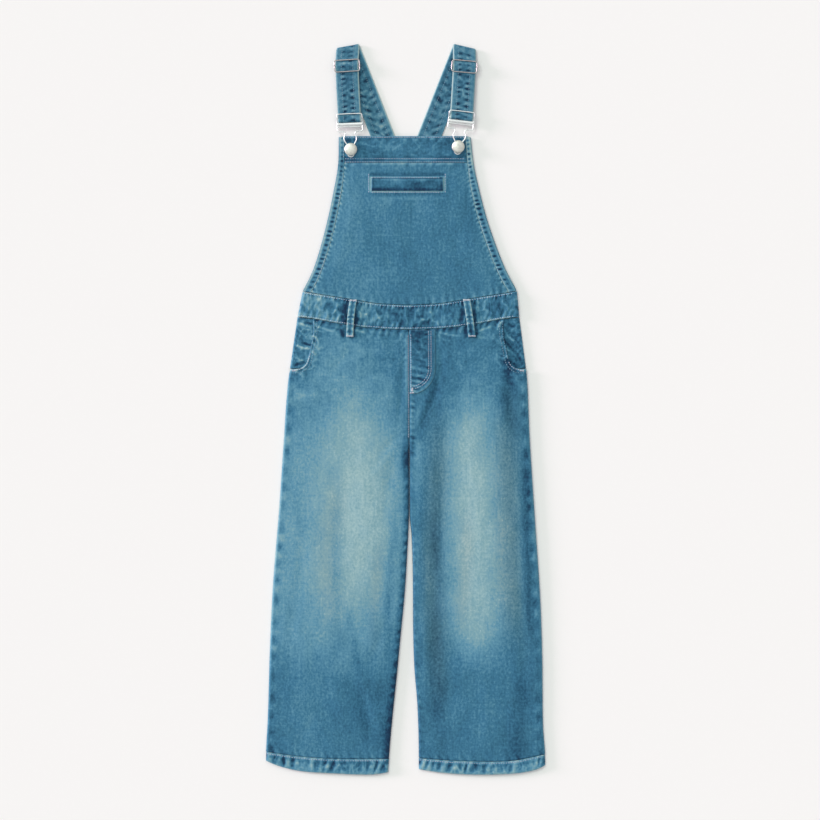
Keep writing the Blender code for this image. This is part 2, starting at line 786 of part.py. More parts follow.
def slider(side):
    """Wire slider: a frame over the strap and a low bar under its front layer."""
    row = STRAPS[side]
    half_x, half_y = SLIDER_SIZE[0] / 2, SLIDER_SIZE[1] / 2
    frame_z = FRONT_MID + STRAP / 2 + SEAM + WIRE + 0.3
    frame = [(x, y, 0.0) for x, y in rounded_box(half_x, half_y, 3.0)]
    name = f"slider_{side}"
    piece = add_object(name, wire(name, frame, WIRE, True, PARTS), NICKEL, PARTS, GARMENT)
    piece.location = Vector((*row["slider"], frame_z)) * MM
    piece.rotation_euler.z = math.radians(row["slider_tilt"])
    drop = SLIDER_BAR_Z - frame_z
    low = half_x - 0.5
    bar = [(-half_x, 0, 0.25), (-half_x, 0, drop + 0.6), (-low, 0, drop), (low, 0, drop),
           (half_x, 0, drop + 0.6), (half_x, 0, 0.25)]
    join(piece, wire(name + "_bar", bar, WIRE, False, PARTS), GARMENT)
    finish_metal(piece)
    return piece


def round_corner(centre, radius, start, end, steps):
    """Points on an arc about a centre, between two angles in degrees."""
    points = []
    for step in range(steps + 1):
        angle = math.radians(start + (end - start) * step / steps)
        points.append((centre[0] + radius * math.cos(angle),
                       centre[1] + radius * math.sin(angle)))
    return points


def clasp_wire_points():
    """One wire: down from the bar, in at the shoulders, round the keyhole and back."""
    bend = 2.4
    corner = round_corner((CLASP_HALF - bend, SHOULDER_Y + bend), bend, 0.0, -90.0, 3)
    half = [(CLASP_HALF, SIDE_WIRE_END_Y), *corner, (8.4, SHOULDER_Y), (6.9, 22.2),
            (6.3, 20.8), (6.3, 19.4), (7.2, 17.2), (7.9, 14.4), (7.3, 11.2), (5.7, 8.4),
            (4.3, 6.0), (KEYHOLE_SLOT, 3.2)]
    foot = round_corner((0.0, KEYHOLE_FOOT_Y), KEYHOLE_SLOT, 0.0, -180.0, 7)
    back = [(-x, y) for x, y in reversed(half)]
    return [(x, y, 0.0) for x, y in half + foot + back]


def buckle(side):
    """Clasp: keyhole wire with shoulders, thick bar, cross wire, inner bar and guide wire."""
    row = STRAPS[side]
    name = f"buckle_{side}"
    keyhole = wire(name, clasp_wire_points(), KEYHOLE_WIRE, False, PARTS)
    piece = add_object(name, keyhole, NICKEL, PARTS, GARMENT)
    piece.location = Vector((*row["button"], HARDWARE_Z)) * MM
    piece.rotation_euler.z = math.radians(row["clasp_tilt"])
    bars = (("thick", CLASP_HALF + 1.2, CLASP_BAR_Y, 0.1, THICK_BAR),
            ("cross", CLASP_HALF, CLASP_BAR_Y - 3.2, 0.0, WIRE),
            ("inner", CLASP_HALF, LOOP_BAR_Y, 0.0, WIRE))
    for word, half_x, y, z, radius in bars:
        line = [(-half_x, y, z), (half_x, y, z)]
        join(piece, wire(f"{name}_{word}", line, radius, False, PARTS), GARMENT)
    rise = 2.5
    half = [(CLASP_HALF, SIDE_WIRE_END_Y, 0.0), (CLASP_HALF, CLASP_BAR_Y + 2.4, 0.0),
            (CLASP_HALF, LOOP_BAR_Y, 0.35), (CLASP_HALF, GUIDE_BAR_Y - 3.6, rise - 0.5),
            (CLASP_HALF - 0.5, GUIDE_BAR_Y - 1.0, rise), (CLASP_HALF - 1.8, GUIDE_BAR_Y, rise)]
    guide = half + [(-x, y, z) for x, y, z in reversed(half)]
    join(piece, wire(name + "_guide", guide, WIRE, False, PARTS), GARMENT)
    finish_metal(piece)
    return piece


def button(side):
    """Tack button: a domed cap on a shank, standing on the bib's corner."""
    row = STRAPS[side]
    x, y = row["button"]
    base = bib_lift(x, y) + TOP_BAND_RISE + TOP_BAND_WAVE + SEAM
    cap_foot = HARDWARE_Z + KEYHOLE_WIRE + SEAM - base
    cap_side = cap_foot + 1.1
    dome = 1.9
    profile = [(0.0, cap_side + dome)]
    steps = 5
    for step in range(1, steps + 1):
        angle = math.radians(90.0 * step / steps)
        profile.append(((BUTTON_RADIUS - 0.5) * math.sin(angle),
                        cap_side + dome * math.cos(angle)))
    profile += [(BUTTON_RADIUS, cap_side - 0.4), (BUTTON_RADIUS - 0.3, cap_foot),
                (2.4, cap_foot), (2.4, 0.8), (3.6, 0.3), (3.6, 0.0), (0.0, 0.0)]
    name = f"button_{side}"
    mesh = bpy.data.meshes.new(name)
    turned = bmesh.new()
    points = [turned.verts.new(Vector((px, 0.0, pz)) * MM) for px, pz in profile]
    for first, second in zip(points, points[1:]):
        turned.edges.new((first, second))
    turned.to_mesh(mesh)
    turned.free()
    piece = add_object(name, mesh, NICKEL, PARTS, GARMENT)
    screw = piece.modifiers.new("Turned", "SCREW")
    screw.angle = 2.0 * math.pi
    screw.steps = 28
    screw.render_steps = 28
    screw.use_merge_vertices = True
    screw.merge_threshold = 0.00001
    screw.use_smooth_shade = True
    piece.location = Vector((x, y, base)) * MM
    return piece


clear_scene()
PARTS = new_collection("dungarees")
CUTTERS = new_collection("cutters")
GARMENT = bpy.data.objects.new("garment_frame", None)
PARTS.objects.link(GARMENT)

for name_of_side in ("left", "right"):
    back_leg(name_of_side)
    front_leg(name_of_side)
    pocket_facing(name_of_side)
    leg_hem(name_of_side)
    bib_hem(name_of_side)
    belt_loop(name_of_side)
    strap(name_of_side)
    slider(name_of_side)
    buckle(name_of_side)
    button(name_of_side)
waistband("back_waistband", BAND_INSET, DENIM)
waistband("front_waistband", 0.0, DENIM_PALE)
back_bib()
bib()
bib_top_band()
bib_welt()
fly()
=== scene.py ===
"""Looks of the kids dungarees: denim shells, stitching, metal hardware, floor, light, camera.

The garment lies flat with its front side up and its straps towards +Y.  Sizes below are in
millimetres and turn into metres where a mesh is made.  Left and right are as seen from the
front.  Each piece follows the form of the solid that it stands for.
"""

import math

import bpy
import numpy as np
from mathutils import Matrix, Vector
from mathutils.bvhtree import BVHTree


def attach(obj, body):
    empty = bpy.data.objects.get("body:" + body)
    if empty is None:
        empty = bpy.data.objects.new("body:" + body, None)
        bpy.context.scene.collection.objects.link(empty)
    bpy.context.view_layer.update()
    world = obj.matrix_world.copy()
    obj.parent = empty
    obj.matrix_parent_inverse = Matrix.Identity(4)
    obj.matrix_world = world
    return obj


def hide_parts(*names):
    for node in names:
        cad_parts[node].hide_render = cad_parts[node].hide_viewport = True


MM = 0.001
SIDES = ("left", "right")
HAND = {"left": 1, "right": -1}      # the way from a side's outer edge to the middle

# Cloth and its build, as in the solids.
WALL = 1.2
DOUBLE = 2.0
STRAP = 1.6
SEAM = 0.3               # clear space between the solids' sewn pieces
GAP = 0.1                # the same between the cloth pieces shown
STRAP_WIDTH = 29.2
LOOP_WIDTH = 9.5
LOOP_WALL = 1.5
CENTRE_X = 4.0
CROTCH_Y = -38.0
SPLIT_Y = -72.0
WAIST_HEIGHT = 5.2
LEG_ROLL = 3.0
BAND_ROLL = 4.0
BACK_INSET = 2.2
HEM_INSET = 1.2
BAND_INSET = 3.4
YOKE_TOP_Y = 327.0
BAND_FOOT_Y = 312.7
LEG_FOOT_Y = -446.0
BIB_TOP_Y = 346.8
POCKET_FOOT_Y = 51.0
FACING_HEIGHT = 2.9
MOUTH_OVERLAP = 5.0      # of the pocket's facing and its mouth
HARDWARE_Z = 5.3
WIRE = 0.7
KEYHOLE_WIRE = 0.9
BUTTON_RADIUS = 8.1
BUTTON_DOME = 1.9
EDGE_STEPS = 8           # columns that round a turned edge
PITCH = 3.1              # from one stitch to the next
STITCH_LENGTH = 2.0
STRAP_ROW = 7.2          # a strap's stitch rows, out from its middle
STRAP_PITCH = 3.0
STRAP_STITCH = 2.2
FIFTHS = np.linspace(0.0, 1.0, 5)      # the five places of a stitch
LIGHT = 1.07             # what a white level surface would show

# Side outlines: height up the garment (y), then place across it (x).
OUTSEAM = {
    "left": ((117, -137.2), (72, -143.8), (30, -149.7), (-40, -154.8), (-127, -160.8),
        (-220, -168.3), (-300, -172.2), (-380, -174.6), (-445, -177.3)),
    "right": ((117, 144.4), (72, 150.3), (36, 154.6), (-38, 157.8), (-143, 164.7), (-240, 171.1),
        (-315, 173.7), (-400, 174.6), (-445, 177.3)),
}
INSEAM = {
    "left": ((130, 3.8), (-38, 4.4), (-134, 4.4), (-176, 2.6), (-232, -0.8), (-286, -6.0),
        (-337, -10.8), (-388, -16.2), (-432, -20.0), (-462, -22.0)),
    "right": ((130, 4.2), (-38, 4.9), (-135, 5.1), (-160, 7.4), (-208, 9.0), (-286, 9.6),
        (-330, 11.2), (-374, 14.8), (-417, 16.4), (-462, 16.8)),
}
BIB_EDGE = {
    "left": ((346, -85.0), (310, -85.9), (275, -92.0), (244, -98.5), (209, -107.4), (176, -118.0),
        (150, -130.6)),
    "right": ((346, 82.8), (310, 87.0), (278, 94.0), (244, 102.9), (212, 113.6), (180, 126.2),
        (152, 140.6)),
}
# Width of the bib's side hems: height, width.
BIB_HEM_WIDTH = ((346, 7.0), (310, 8.0), (275, 10.5), (150, 11.0))
# Edges of the waistband: distance from its middle, height.  Then its ends: height, x.
BAND_LOWER = ((0, 101.0), (30, 101.8), (60, 104.3), (90, 108.9), (118, 114.2), (142, 117.4))
BAND_UPPER = ((0, 132.0), (39, 134.0), (67, 138.4), (98, 143.4), (137, 149.7))
BAND_END_Y = (117.0, 150.0)
BAND_END = {"left": ((150, -130.8), (117, -137.2)), "right": ((150, 141.6), (117, 144.4))}
# Foot and stitch row of a leg's hem: share of the way across, height.
HEM_EDGE = {
    "left": ((0.0, -446.0), (0.1, -452.6), (0.28, -459.2), (0.57, -462.4), (0.86, -463.9),
        (1.0, -461.0)),
    "right": ((0.0, -457.0), (0.2, -461.7), (0.48, -463.9), (0.76, -462.4), (0.92, -458.0),
        (1.0, -452.0)),
}
HEM_STITCH = {
    "left": ((0.0, -434.6), (0.28, -440.6), (0.57, -443.4), (1.0, -443.6)),
    "right": ((0.0, -442.6), (0.3, -446.0), (0.72, -446.2), (1.0, -438.0)),
}
# Height of a leg's front panel: y, height in its middle, height beside its edges.
LEG_LIFT = ((110, 4.8, 4.5), (40, 5.3, 4.5), (-60, 6.0, 4.4), (-200, 6.3, 4.2), (-340, 5.4, 4.0),
    (-440, 4.3, 3.8))
# Mouth of the scooped pocket: distance in from the side seam's top end, height.
SCOOP = ((19.8, 120.0), (19.8, 94.7), (16.5, 78.4), (14.1, 66.2), (10.6, 57.0), (3.2, 51.8),
    (-9.0, 50.9))
# Back bib: height, half width, and how far it leans to the right for each mm down.
YOKE = ((327, 57.0), (265, 66.0), (215, 83.0), (176, 104.0), (150, 118.0))
YOKE_LEAN = 0.03
# Each strap: ends of its fold, lean for each mm down the back, slider, button, and the tilts
# of slider and clasp in degrees.
STRAPS = {
    "left": {"outer": (-88.7, 458.3), "inner": (-57.9, 464.0), "run": 0.391,
             "slider": (-74.2, 435.3), "slider_tilt": 3.5,
             "button": (-69.4, 329.2), "clasp_tilt": 2.3},
    "right": {"outer": (89.7, 457.1), "inner": (60.4, 464.0), "run": -0.396,
              "slider": (74.6, 434.3), "slider_tilt": -5.0,
              "button": (66.7, 332.6), "clasp_tilt": -6.5},
}
# Clasp, measured from its button's middle, and the slider's outer size.
LOOP_BAR_Y = 36.9
GUIDE_BAR_Y = 44.8
CLASP_BAR_Y = 32.2
CLASP_HALF = 16.0
SHOULDER_Y = 22.9
KEYHOLE_SLOT = 3.9
KEYHOLE_FOOT_Y = -5.4
SLIDER_SIZE = (31.8, 14.8)
# Top and foot of each belt loop, and the welt's corners.
LOOP_ENDS = {"left": ((-66.0, 139.5), (-70.6, 91.2)), "right": ((77.2, 140.0), (84.2, 91.2))}
WELT = (-43.5, 276.6, 48.0, 294.6)    # low x, low y, high x, high y
# Mock fly: a J that bends into the centre seam.
FLY_WIDTH = 32.5
FLY_BEND_Y = 52.0
FLY_FOOT_Y = 20.0
FLY_TOP_X = CENTRE_X + 16.0
FLY_ROWS = (5.6, 8.7)    # stitch rows, in from its edge

# Creases: from (x, y) to (x, y), half width, rise (a trough is negative).
LEG_FOLDS = {
    "left": ((-77, -315, -38, -425, 13, -0.9), (-96, -322, -60, -436, 14, 0.6),
        (-128, -120, -146, -330, 12, -0.5), (-14, -62, -34, -150, 12, -0.5),
        (-2, -30, -40, -58, 7, -0.45), (-6, -44, -52, -96, 8, 0.4),
        (-112, -384, -142, -436, 9, -0.4), (-20, -250, -44, -330, 9, -0.35),
        (-3, 92, -8, -30, 6, -0.5), (-70, 84, -96, 30, 9, -0.3)),
    "right": ((31, -60, 34, -420, 12, -0.8), (48, -90, 54, -400, 14, 0.5),
        (42, 46, 16, -40, 6, -0.7), (34, 22, 26, 4, 6, 0.4), (143, -110, 150, -400, 11, -0.6),
        (12, -34, 46, -70, 8, -0.4), (44, 84, 38, -20, 8, -0.7), (128, 62, 138, -40, 9, -0.6),
        (96, -330, 104, -436, 10, 0.4), (124, -340, 132, -438, 8, -0.4)),
}
# Worn zone of each leg: y, middle x, half widths to its left and right, strength, and the
# share of it that is left beyond them.
LEG_FADE = {
    "left": ((104, -80, 60, 60, 0.05, 0.9), (62, -90, 60, 75, 0.15, 0.3),
        (12, -70, 62, 66, 0.25, 0.3), (-26, -62, 76, 64, 0.38, 0.42),
        (-90, -58, 88, 66, 0.45, 0.44), (-140, -54, 96, 62, 0.44, 0.47),
        (-190, -58, 100, 62, 0.42, 0.49), (-242, -66, 100, 66, 0.34, 0.54),
        (-292, -80, 96, 74, 0.18, 0.6), (-322, -90, 90, 80, 0.08, 0.6),
        (-350, -90, 90, 80, 0.0, 1.0)),
    "right": ((104, 84, 40, 50, 0.02, 0.5), (52, 84, 44, 54, 0.05, 0.1), (6, 84, 52, 56, 0.24, 0.0),
        (-26, 82, 60, 60, 0.37, 0.02), (-90, 84, 60, 64, 0.43, 0.1), (-140, 84, 58, 70, 0.43, 0.12),
        (-190, 86, 58, 72, 0.42, 0.12), (-242, 88, 58, 66, 0.4, 0.1),
        (-280, 88, 56, 60, 0.33, 0.04), (-306, 90, 52, 56, 0.18, 0.0),
        (-338, 90, 50, 50, 0.02, 0.0)),
}
# Darker or lighter bands of the denim: as a crease's row, with the change of tone last.
# Many dark rows are painted shade: in fold troughs and at the crotch, beside the fly's edge,
# and on the right leg's outer side away from the light; the dark rows at the belt loops' feet
# are painted shadow.
LEG_SHADES = {
    "left": ((-10, 95, -10, -60, 14, -0.07), (-36, -330, -24, -450, 26, -0.11),
        (-118, 108, -88, 97, 3, 0.36), (-96, 105, -82, 100, 2.6, -0.22),
        (-83, 103, -78, 90, 4, -0.4), (-70, 102, -48, 96, 2.6, 0.28), (-68, 94, -70, 88, 3, -0.3),
        (-50, 97, -20, 93, 2.4, -0.12), (2, 16, 0, -90, 10, -0.36),
        (-74, -240, -56, -352, 9, -0.12), (-62, -340, -46, -440, 11, -0.12),
        (-125, -310, -132, -500, 36, 0.08), (-79, 108, -79, 88, 4.5, -0.34),
        (-65, 108, -65, 87, 4.5, -0.4), (-88, -60, -84, -330, 14, -0.1),
        (-14, -110, -24, -340, 10, -0.14), (-156, 22, -108, 18, 11, 0.16)),
    "right": ((41, 96, 38, -250, 13, -0.13), (38, -60, 38, -445, 15, -0.17),
        (62, 132, 60, 16, 22, -0.08), (40, 98, 72, 92, 2.6, 0.3), (86, 97, 114, 107, 2.8, 0.34),
        (42, 91, 60, 84, 2.6, 0.16), (88, 93, 104, 90, 2.6, 0.14), (77, 102, 79, 90, 2.6, -0.3),
        (90, 104, 91, 92, 2.4, -0.26), (42, 48, 14, -46, 10, -0.2), (9, -20, 7, -66, 6, -0.3),
        (14, -20, 15, -110, 11, 0.13), (30, -120, 32, -250, 10, 0.06), (22, 14, 12, -14, 4, 0.1),
        (48, -280, 50, -490, 15, -0.08), (128, 90, 133, -40, 15, -0.2),
        (153, -10, 159, -330, 10, -0.3), (140, -290, 150, -520, 24, -0.16),
        (20, -60, 24, -250, 10, -0.08), (75, 108, 76, 88, 4, -0.3), (89, 110, 90, 86, 4.5, -0.4),
        (150, 90, 158, 0, 10, -0.08), (124, 66, 146, 4, 9, -0.14)),
}
GREY_ZONES = {
    "left": ((-92, -60, -98, -310, 24, 0.3), (-30, -150, -40, -330, 12, 0.3)),
    "right": ((38, 40, 38, -420, 22, 1.0), (134, 60, 142, -340, 26, 0.9),
        (74, -110, 70, -300, 16, 0.3)),
}
# Creases of the pockets, for both height and tone; the deep row under the left pocket's lip darkens
# it as painted shadow of the lip.
POCKET_CREASES = {
    "left": ((-137, 110, -117, 103, 2.6, 0.9), (-128, 111, -116, 107, 2.2, -0.7),
        (-134, 85, -117, 81, 2.6, -1.1), (-142, 81, -118, 76, 2.6, 0.9),
        (-121, 94, -109, 92, 2.4, 0.8), (-121, 76, -113, 68, 2.6, 0.9),
        (-141, 72, -134, 62, 2.4, 0.6), (-143, 54, -125, 61, 3.2, -0.9),
        (-140, 60, -128, 63, 2.4, 0.6), (-119, 88, -110, 80, 2.6, -0.5),
        (-132, 98, -122, 88, 2.6, 0.6), (-117, 112, -117, 98, 2.0, -0.7)),
    "right": ((122, 114, 124, 98, 2.0, -0.6), (126, 96, 141, 84, 2.8, 0.9),
        (121, 92, 139, 74, 2.6, -0.8), (118, 88, 132, 72, 2.6, 0.7), (133, 104, 147, 96, 2.8, 0.6),
        (128, 108, 140, 104, 3.0, -0.7), (126, 78, 143, 66, 2.6, 0.7),
        (140, 70, 150, 56, 2.8, -0.7), (128, 62, 145, 53, 3.4, -0.9), (114, 80, 122, 74, 2.6, 0.5),
        (106, 92, 120, 86, 2.6, 0.4), (136, 90, 148, 80, 2.8, -0.6)),
}
BIB_FOLDS = ((-74, 318, -52, 292, 7, -0.45), (-80, 300, -66, 262, 7, 0.3),
    (72, 318, 58, 296, 7, -0.4), (82, 300, 78, 256, 7, -0.35), (-30, 250, -22, 160, 12, -0.25),
    (12, 262, 6, 150, 16, -0.35), (60, 232, 74, 160, 12, -0.25), (-70, 236, -88, 168, 12, 0.25),
    (-44, 272, -10, 262, 6, -0.3), (52, 296, 60, 252, 5, -0.35))
# Tone bands of the bib, as the legs' rows; the two dark rows just under the top band's ends are
# painted shadow of the band.
BIB_SHADES = ((-60, 300, -84, 170, 34, 0.07), (0, 230, 2, 135, 26, -0.05),
    (70, 300, 96, 170, 26, -0.05), (-30, 268, -14, 262, 9, 0.1), (-84, 313, -50, 311, 5, -0.2),
    (58, 313, 84, 312, 6, -0.24), (-46, 303, 50, 303, 5, -0.1), (-46, 272, 50, 272, 4, -0.1))
# Tone bands of the waistband, as the legs' rows; the dark rows beside the belt loops are painted
# shadow of the loops.
WAIST_SHADES = ((-118, 128, -92, 122, 9, 0.08), (-74, 150, -77, 106, 5.5, -0.46),
    (-60, 132, -62, 104, 3, -0.2), (70, 146, 75, 106, 4, -0.3), (85, 144, 90, 108, 4, -0.2),
    (0, 170, 2, 70, 26, 0.05), (-52, 170, -52, 80, 20, 0.21), (-88, 165, -88, 95, 11, 0.1),
    (-124, 170, -124, 90, 14, -0.05), (18, 160, 26, 74, 24, -0.08), (-165, 124, -74, 112, 6.5, 0.2),
    (-120, 143, -84, 135, 8, 0.22), (72, 111, 142, 119, 5, 0.14), (150, 130, 134, 124, 7, -0.1),
    (-10, 160, -8, 78, 17, -0.07), (48, 165, 48, 85, 15, 0.08), (99, 170, 103, 90, 18, 0.16),
    (130, 170, 130, 90, 10, -0.05), (-79, 121, -80, 84, 4.5, -0.4),
    (-64.5, 126, -65.5, 84, 5, -0.42), (70, 124, 76, 84, 4, -0.3), (86, 130, 90, 84, 4.5, -0.42),
    (-46, 117, 20, 117, 6, 0.13), (-36, 127, 8, 127, 3.4, -0.22))

# Heights of a strap's mid layer, and the rows it is built of along its way.
FOLD_RADIUS = (STRAP + SEAM) / 2
BACK_MID = STRAP / 2
FRONT_NEAR_FOLD = BACK_MID + 2 * FOLD_RADIUS
RETURN_MID = STRAP + SEAM + STRAP / 2
FRONT_MID = RETURN_MID + STRAP + SEAM
SLIDER_BAR_Z = 2 * (STRAP + SEAM) + WIRE
OVER_SLIDER = SLIDER_BAR_Z + WIRE + SEAM + STRAP / 2
LOOP_RADIUS = WIRE + SEAM + STRAP / 2
OVER_LOOP = HARDWARE_Z + LOOP_RADIUS
BACK_STATIONS = 100
TURN_STATIONS = 10
FRONT_STATIONS = 90
END_STATIONS = 24
FOLD_ROW = BACK_STATIONS + TURN_STATIONS // 2


def pick(side, left, right):
    """The left or the right side's value."""
    return left if side == "left" else right


def smooth(share):
    """Ease from 0 to 1."""
    share = np.clip(share, 0.0, 1.0)
    return share * share * (3.0 - 2.0 * share)


def fall(distance, reach):
    """1 on a line, easing to 0 at its reach."""
    return smooth(1.0 - distance / reach)


def bell(distance, reach):
    """1 on a line, fading away within a reach of it."""
    return np.exp(-(distance / reach) ** 2)


def mix(low, high, share):
    """Straight blend between two values."""
    return low + (high - low) * share


def split(value, raised, sunk):
    """A value times one amount where it is over 0 and another where it is under."""
    return raised * np.maximum(value, 0.0) - sunk * np.maximum(-value, 0.0)


def up_rows(count):
    """Shares from 0 to 1 up the rows of a grid."""
    return np.linspace(0.0, 1.0, count)[:, None]


def across_columns(count):
    """Shares from 0 to 1 across the columns of a grid."""
    return np.linspace(0.0, 1.0, count)[None, :]


def along(rows, at, column=1):
    """Values at keys on the smooth curve through rows of (key, value, ...)."""
    rows = np.array(sorted(tuple(row) for row in rows), float)
    keys, values = rows[:, 0], rows[:, column]
    last = len(keys) - 1
    at = np.clip(np.asarray(at, float), keys[0], keys[-1])
    start = np.clip(np.searchsorted(keys, at, side="right") - 1, 0, last - 1)
    low, high = np.maximum(np.arange(last + 1) - 1, 0), np.minimum(np.arange(last + 1) + 1, last)
    slope = (values[high] - values[low]) / (keys[high] - keys[low])
    span = keys[start + 1] - keys[start]
    t = (at - keys[start]) / span
    return ((2 * t ** 3 - 3 * t ** 2 + 1) * values[start]
            + (t ** 3 - 2 * t ** 2 + t) * span * slope[start]
            + (3 * t ** 2 - 2 * t ** 3) * values[start + 1]
            + (t ** 3 - t ** 2) * span * slope[start + 1])


def lattice(i, j, seed):
    """Repeatable value between 0 and 1 at whole-number places."""
    value = (i * 374761393 + j * 668265263 + seed * 974634777) & 0x7FFFFFFF
    value = ((value ^ (value >> 13)) * 1274126177) & 0x7FFFFFFF
    return ((value ^ (value >> 16)) & 0xFFFF) / 65535.0


def noise(x, y, size, seed):
    """Smooth noise between -1 and 1 whose lumps are about one size apart."""
    cosine, sine = math.cos(1.7 * seed), math.sin(1.7 * seed)
    u = (x * cosine - y * sine) / size + 311.5
    v = (x * sine + y * cosine) / size + 173.2
    i, j = np.floor(u).astype(np.int64), np.floor(v).astype(np.int64)
    across = smooth(u - i)
    low = mix(lattice(i, j, seed), lattice(i + 1, j, seed), across)
    high = mix(lattice(i, j + 1, seed), lattice(i + 1, j + 1, seed), across)
    return 2.0 * mix(low, high, smooth(v - j)) - 1.0


def crinkle(x, y, size, seed):
    """A web of thin raised creases over hollows, between about -1 and 1."""
    bend_x = x + 0.22 * size * noise(x, y, 0.8 * size, seed + 2)
    bend_y = y + 0.22 * size * noise(x, y, 0.8 * size, seed + 3)
    broad = 1.6 * bell(noise(bend_x, bend_y, size, seed), 0.2) - 0.6
    fine = 1.6 * bell(noise(bend_y, -bend_x, 0.6 * size, seed + 1), 0.2) - 0.6
    return 0.6 * broad + 0.4 * fine


def ripple(distance, spacing, phase):
    """Uneven waves between -1 and 1."""
    turn = 2.0 * math.pi * distance / spacing
    wander = 0.9 * np.sin(turn * 0.23 + phase)
    return np.sin(turn + wander + phase) * (0.72 + 0.28 * np.sin(turn * 0.37 + 2.1 * phase))


def pucker(run, aside, spacing, reach, slant=0.0, seed=1):
    """Gathers across a stitched line: run is along it and aside is the distance from it."""
    size = 0.75 + 0.45 * noise(run, 0.0, 2.7 * spacing, seed)
    lean = slant * aside + 0.12 * spacing * noise(run, aside, 1.6 * spacing, seed + 5)
    return ripple(run + lean, spacing, 0.7 * seed) * size * bell(aside, reach)


def needle_marks(run, aside, reach=0.9):
    """Dark dashes beside a stitched row, where the thread pulls the cloth down."""
    wander = run + 0.8 * noise(run, 0.0, 9.0, 29)
    return bell(aside, reach) * (0.45 + 0.55 * np.cos(2.0 * math.pi * wander / PITCH))


def crease_sum(rows, x, y, seed=3):
    """Sum of soft creases, a little uneven in line and depth."""
    total = 0.0
    for index, (x0, y0, x1, y1, half_width, height) in enumerate(rows):
        run_x, run_y = x1 - x0, y1 - y0
        length = math.hypot(run_x, run_y)
        share = ((x - x0) * run_x + (y - y0) * run_y) / length ** 2
        aside = ((x - x0) * run_y - (y - y0) * run_x) / length
        wander = noise(share * length, 0.0, 0.35 * length, seed + index)
        ends = smooth(share / 0.3) * smooth((1.0 - share) / 0.3)
        aside = np.abs(aside + 0.3 * half_width * wander)
        total = total + height * ends * fall(aside, half_width)
    return total


def lengths(line):
    """How far along a line each of its places lies."""
    steps = np.linalg.norm(np.diff(line, axis=0), axis=1)
    return np.concatenate([[0.0], np.cumsum(steps)])


def walk(line, run, at):
    """Places at distances along a line."""
    return np.stack([np.interp(at, run, column) for column in line.T], -1)


def curve(points, step=2.0):
    """Evenly spaced places on a smooth line through points."""
    points = np.array(points, float)
    run = lengths(points)
    at = np.linspace(0.0, run[-1], 4 * len(points) + int(run[-1] / step))
    dense = np.stack([along(zip(run, column), at) for column in points.T], 1)
    run = lengths(dense)
    return walk(dense, run, np.linspace(0.0, run[-1], max(int(round(run[-1] / step)), 1) + 1))


def near(x, y, line):
    """Distance from places to a line, and how far along it their nearest place lies."""
    place = np.stack([x.ravel(), y.ravel()], 1)
    best, best_run = np.full(len(place), 1e9), np.zeros(len(place))
    run = 0.0
    for start, end in zip(line[:-1], line[1:]):
        step = end - start
        length = math.hypot(*step)
        share = np.clip((place - start) @ step / length ** 2, 0.0, 1.0)
        away = np.hypot(*(place - start - share[:, None] * step).T)
        best_run = np.where(away < best, run + share * length, best_run)
        best = np.minimum(away, best)
        run += length
    return best.reshape(x.shape), best_run.reshape(x.shape)


def unit(vectors):
    """Vectors brought to length 1."""
    return vectors / np.maximum(np.linalg.norm(vectors, axis=-1, keepdims=True), 1e-9)


def screen(red, green, blue):
    """Base colour that shows as a screen colour on a level surface."""
    made = []
    for value in (red / 255.0, green / 255.0, blue / 255.0):
        value = value / 12.92 if value <= 0.04045 else ((value + 0.055) / 1.055) ** 2.4
        made.append(value / LIGHT)
    return (*made, 1.0)


class Graph:
    """Short calls that build the nodes of a material or a world."""

    def __init__(self, owner, shader="Principled BSDF"):
        owner.use_nodes = True
        self.owner = owner
        self.tree = owner.node_tree
        self.shader = self.tree.nodes[shader]

    def feed(self, socket, value):
        """Link or set an input."""
        if isinstance(value, bpy.types.NodeSocket):
            self.tree.links.new(value, socket)
        else:
            socket.default_value = value

    def add(self, kind, inputs, output=0, **settings):
        """Add a node and return one of its outputs."""
        made = self.tree.nodes.new("ShaderNode" + kind)
        for key, value in settings.items():
            setattr(made, key, value)
        for key, value in inputs.items():
            self.feed(made.inputs[key], value)
        return made.outputs[output]

    def maths(self, operation, first, second):
        """One operation on two numbers."""
        return self.add("Math", {0: first, 1: second}, operation=operation)

    def total(self, start, *terms):
        """A number plus others, each times its amount."""
        for value, amount in terms:
            start = self.maths("ADD", start, self.maths("MULTIPLY", value, amount))
        return start

    def scaled(self, vector, factors):
        """A vector times three factors."""
        return self.add("VectorMath", {0: vector, 1: factors}, operation="MULTIPLY")

    def grain(self, vector, factors, detail=2.0):
        """Noise stretched by factors, about 0.5."""
        return self.add("TexNoise", {"Vector": self.scaled(vector, factors), "Scale": 1.0,
                                     "Detail": detail, "Roughness": 0.55})

    def mixed(self, share, first, second, blend="MIX"):
        """A blend of two colours."""
        return self.add("Mix", {0: share, 6: first, 7: second}, 2, data_type="RGBA",
                        blend_type=blend)

    def ramp(self, share, *stops):
        """A colour ramp through (place, colour) stops."""
        socket = self.add("ValToRGB", {0: share})
        elements = socket.node.color_ramp.elements
        while len(elements) < len(stops):
            elements.new(0.5)
        for element, (place, colour) in zip(elements, stops):
            element.position, element.color = place, (*colour[:3], 1.0)
        return socket

    def bump(self, height, strength, distance):
        """A normal that follows a height."""
        return self.add("Bump", {"Height": height, "Strength": strength, "Distance": distance})

    def finish(self, **inputs):
        """Set the shader's inputs by name, with _ for a space."""
        for key, value in inputs.items():
            self.feed(self.shader.inputs[key.replace("_", " ")], value)
        return self.owner


def new_material(name):
    """A material's graph, and the place in its object that patterns are read at."""
    g = Graph(bpy.data.materials.new(name))
    return g, g.add("TexCoord", {}, "Object")


